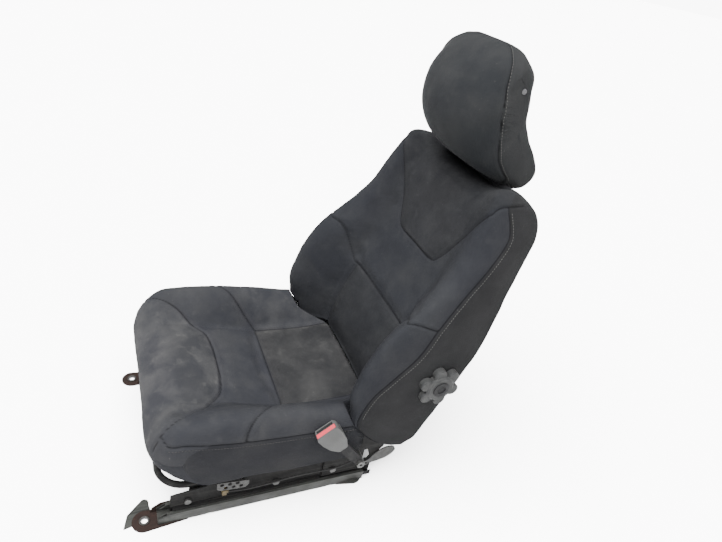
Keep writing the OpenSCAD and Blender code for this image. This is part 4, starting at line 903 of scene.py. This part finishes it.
def stitches(name, cover, near, material, length=3.6, gap=2.4, lift=0.5, width=0.6, sides=6):
    """Row of short raised threads on a cover, along a line of points near it, in mm."""
    surface = BVHTree.FromObject(cover, bpy.context.evaluated_depsgraph_get())
    hits = [surface.find_nearest(Vector(q) * MM) for q in near]
    points = np.array([tuple(h[0]) for h in hits]) / MM
    normals = np.array([tuple(h[1]) for h in hits])
    seg = np.linalg.norm(np.diff(points, axis=0), axis=1)
    dist = np.concatenate([[0], np.cumsum(seg)])
    verts, faces = [], []
    ring = [(math.cos(a), math.sin(a)) for a in np.linspace(0, 2 * math.pi, sides + 1)[:-1]]
    last = (len(STITCH) - 1) * sides
    at = 0.0
    while at + length < dist[-1]:
        marks = at + length * np.array([share for share, _, _ in STITCH])
        p = np.column_stack([np.interp(marks, dist, points[:, k]) for k in range(3)])
        n = np.column_stack([np.interp(marks, dist, normals[:, k]) for k in range(3)])
        n /= np.linalg.norm(n, axis=1)[:, None]
        along_dir = (p[-1] - p[0]) / max(np.linalg.norm(p[-1] - p[0]), 1e-6)
        across = np.cross(n, along_dir)
        base = len(verts)
        for i, (_, rad, up_by) in enumerate(STITCH):
            centre = p[i] + n[i] * (lift * up_by)
            for cx, cy in ring:
                verts.append(centre + width * rad * (cx * across[i] + cy * n[i]))
        for low in range(base, base + last, sides):
            for k in range(sides):
                a, b = low + k, low + (k + 1) % sides
                faces.append([a, b, b + sides, a + sides])
        faces.append([base + k for k in range(sides)])
        faces.append([base + last + k for k in range(sides - 1, -1, -1)])
        at += length + gap
    ob = add_mesh(name, verts, faces)
    ob.data.materials.append(material)
    return ob


seat = make_seat()
backrest = make_back()
head = make_head()
seat_cloth = cloth_material("seat_cloth", base=(0.0042, 0.0044, 0.0053),
                            dark=(0.0026, 0.0026, 0.0026), dust=(0.0126, 0.0124, 0.0120),
                            side=(0.0028, 0.0028, 0.0028))
back_cloth = cloth_material("back_cloth", base=(0.0034, 0.0036, 0.0043),
                            dark=(0.0026, 0.0027, 0.0030), dust=(0.0092, 0.0093, 0.0094),
                            side=(0.0028, 0.0028, 0.0027))
head_cloth = cloth_material("head_cloth", base=(0.0031, 0.0034, 0.0038),
                            dark=(0.0031, 0.0034, 0.0038), dust=(0.0095, 0.0095, 0.0092),
                            side=(0.0064, 0.0064, 0.0062))

# top stitching beside the seams of the covers: a row on each side of every cover
dark_thread = plain_material("dark_thread", (0.0075, 0.0075, 0.0075), 0.7, grain=2500,
                             Specular_IOR_Level=0.1)
thread = plain_material("thread", (0.02, 0.02, 0.019), 0.7, grain=2500, grain_depth=0.0001,
                        Specular_IOR_Level=0.1)
# how far the rows lie beside their seams
BACK_ROW_OUT, SEAM_ASIDE, HEAD_ASIDE = 3, 8, 5
# the skirt's seam at the front corner (y, z), and how far out it lies (y, x)
CORNER_Z = [(-185, 238), (-177, 239), (-156, 243.5), (-138, 242), (-118, 238), (-100, 234.5)]
CORNER_X = [(-185, 230), (-177, 235), (-156, 241), (-138, 244)]
sewn = []
for k, tag in ((1, "left"), (-1, "right")):
    v = np.linspace(-112, 400, 180)
    n = BOLSTER_N * along(BACK_SEAM, v / BACK_H) - SEAM_ASIDE
    row = to_world(np.column_stack([k * (back_half(v) + BACK_ROW_OUT), v, n]))
    sewn.append((stitches("back_stitches_" + tag, backrest, row, thread), "backrest", "back_cloth"))
    y = np.linspace(-184, 200, 150)
    z = np.where(y < SKIRT_SEAM_Y, np.interp(y, *zip(*CORNER_Z)),
                 seat_top(np.full_like(y, SEAT_HW), y)) - SEAM_ASIDE
    row = np.column_stack([k * np.interp(y, *zip(*CORNER_X)), y, z])
    sewn.append((stitches("seat_stitches_" + tag, seat, row, dark_thread), "seat", "seat_cloth"))
    line = np.array([(126, v, n) for n, v in HEAD_SEAM[-2:0:-1]] + CROWN_SEAM[::-1], float)
    t = np.linspace(0, len(line) - 1, 260)
    x, v, n = (np.interp(t, np.arange(len(line)), line[:, i]) for i in range(3))
    row = to_world(np.column_stack([k * x, v, n - HEAD_ASIDE]))
    sewn.append((stitches("head_stitches_" + tag, head, row, thread), "head", "head_cloth"))
for piece, body, name in sewn:
    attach(piece, body)

for piece, mat, node, body, name, fill in (
        (seat, seat_cloth, "seat_cushion", "seat", "seat_cloth", 0.85),
        (backrest, back_cloth, "backrest_cushion", "backrest", "back_cloth", 0.85),
        (head, head_cloth, "head_cushion", "head", "head_cloth", 0.9)):
    piece.data.materials.clear()
    piece.data.materials.append(mat)
    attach(piece, body)
    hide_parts(node)


# ------------------------------------------------------------------ materials of the hard parts
OILY = (0.004, 0.0037, 0.0034)
BLACK_DUST = (0.0035, 0.003, 0.003)
PALE_DUST = (0.009, 0.0087, 0.0083)
LOOKS = {
    # the rail's darker streaks along its length are painted reflection lines, partly dirt
    "rail_zinc": dict(base=(0.0125, 0.013, 0.012), metal=0.5, grain=350, dirt=0.7,
                      dirt_color=OILY, streak=(0.003, 0.003, 0.003), Specular_IOR_Level=0.1),
    "foot_rust": dict(base=(0.0055, 0.0036, 0.0031), rough=0.8, metal=0.1,
                      wear=(0.013, 0.0075, 0.006), dirt=0.6, dirt_color=BLACK_DUST, blotch=40,
                      Specular_IOR_Level=0.06),
    "bright_steel": dict(base=(0.014, 0.014, 0.0135), rough=0.45, metal=0.6, dirt=0.85,
                         dirt_color=OILY, blotch=90),
    "post_chrome": dict(base=(0.35, 0.35, 0.36), rough=0.14, metal=1.0, dirt=0.05),
    # the frame's lighter streaks along its length are painted reflection lines, partly dirt
    "frame_black": dict(base=(0.0018, 0.0018, 0.0018), rough=0.55, wear=(0.005, 0.005, 0.005),
                        dirt=0.4, dirt_color=OILY, blotch=25, streak=(0.0075, 0.0073, 0.007),
                        Specular_IOR_Level=0.06),
    "pan_grey": dict(base=(0.008, 0.008, 0.0083), rough=0.55, metal=0.4,
                     dirt_color=(0.012, 0.011, 0.01), Specular_IOR_Level=0.1),
    "wire_steel": dict(base=(0.012, 0.012, 0.0117), metal=0.5, dirt=0.8,
                       dirt_color=(0.0035, 0.0033, 0.003), blotch=60, Specular_IOR_Level=0.15),
    "wire_black": dict(base=(0.003, 0.003, 0.003), dirt_color=(0.008, 0.0076, 0.007),
                       edge=0.0003, Specular_IOR_Level=0.1),
    "connector_yellow": dict(base=(0.022, 0.016, 0.006), dirt=0.6,
                             dirt_color=(0.005, 0.0045, 0.004), Specular_IOR_Level=0.2),
    "trim_black": dict(base=(0.0032, 0.0032, 0.0035), rough=0.6, grain=900, grain_depth=0.0003,
                       dirt=0.3, dirt_color=PALE_DUST, Specular_IOR_Level=0.1),
    "knob_grey": dict(base=(0.0070, 0.0072, 0.0073), rough=0.55, grain=900, grain_depth=0.0003,
                      dirt=0.5, dirt_color=(0.020, 0.0198, 0.0190), blotch=45, edge=0.0025,
                      Specular_IOR_Level=0.12),
    "core_plastic": dict(base=(0.01, 0.01, 0.01), rough=0.6, Specular_IOR_Level=0.1),
    "button_grey": dict(base=(0.02, 0.02, 0.021), rough=0.4, edge=0.002, Specular_IOR_Level=0.2),
    "strap_black": dict(base=(0.0045, 0.0045, 0.0047), rough=0.8, grain=700, grain_depth=0.0006,
                        dirt=0.5, dirt_color=(0.013, 0.0127, 0.0122), blotch=60,
                        Specular_IOR_Level=0.08),
    "buckle_grey": dict(base=(0.0165, 0.0167, 0.0165), rough=0.45, grain=900, dirt=0.3,
                        dirt_color=PALE_DUST, edge=0.002, Specular_IOR_Level=0.15),
    "button_red": dict(base=(0.13, 0.011, 0.016), rough=0.3, dirt=0.25,
                       dirt_color=(0.05, 0.016, 0.016), Specular_IOR_Level=0.2),
}
looks = {name: plain_material(name, **values) for name, values in LOOKS.items()}
for row in frame["record"]["subparts"]:
    ob = bpy.data.objects.get(row["node"])
    if ob and row["material_slot"] in looks:
        for slot in ob.material_slots:
            slot.material = looks[row["material_slot"]]


# ------------------------------------------------------------------ floor and light
FLOOR_HALF = 60
FLOOR_PALE, FLOOR_DULL = (0.72, 0.72, 0.72), (0.7, 0.7, 0.7)
floor = bpy.data.meshes.new("floor")
corners = ((-1, -1), (1, -1), (1, 1), (-1, 1))
floor.from_pydata([(FLOOR_HALF * x, FLOOR_HALF * y, 0) for x, y in corners], [], [[0, 1, 2, 3]])
floor_ob = bpy.data.objects.new("floor", floor)
bpy.context.scene.collection.objects.link(floor_ob)
floor_nodes = Nodes("floor")
dull = floor_nodes.ramp(floor_nodes.noise(3, 4), 0.4, 0.7, 0, 0.3)
floor.materials.append(floor_nodes.finish(floor_nodes.mix(dull, FLOOR_PALE, FLOOR_DULL), 0.9))

# a bright band at the horizon that dims up to a share of the height, and soft light from above
WORLD_LOW, WORLD_HIGH, DIM_BY = 9.0, 1.5, 0.3
world = bpy.data.worlds.new("studio")
world.use_nodes = True
tree = world.node_tree
sky = tree.nodes.new("ShaderNodeTexCoord")
split = tree.nodes.new("ShaderNodeSeparateXYZ")
shade = tree.nodes.new("ShaderNodeMapRange")
shade.interpolation_type = "SMOOTHSTEP"
for key, value in (("From Min", 0.0), ("From Max", DIM_BY), ("To Min", WORLD_LOW),
                   ("To Max", WORLD_HIGH)):
    shade.inputs[key].default_value = value
background = tree.nodes["Background"]
tree.links.new(sky.outputs["Generated"], split.inputs[0])
tree.links.new(split.outputs["Z"], shade.inputs["Value"])
background.inputs[0].default_value = (1, 1, 1, 1)
tree.links.new(shade.outputs["Result"], background.inputs[1])
bpy.context.scene.world = world


def sun(name, aim, strength, angle):
    data = bpy.data.lights.new(name, "SUN")
    data.energy = strength
    data.angle = angle
    ob = bpy.data.objects.new(name, data)
    ob.rotation_euler = Vector(aim).to_track_quat("-Z", "Y").to_euler()
    bpy.context.scene.collection.objects.link(ob)


# nearly overhead and as wide as a large soft box, in radians
sun("above", (-0.2, 0.3, -1), 44, 1.3)
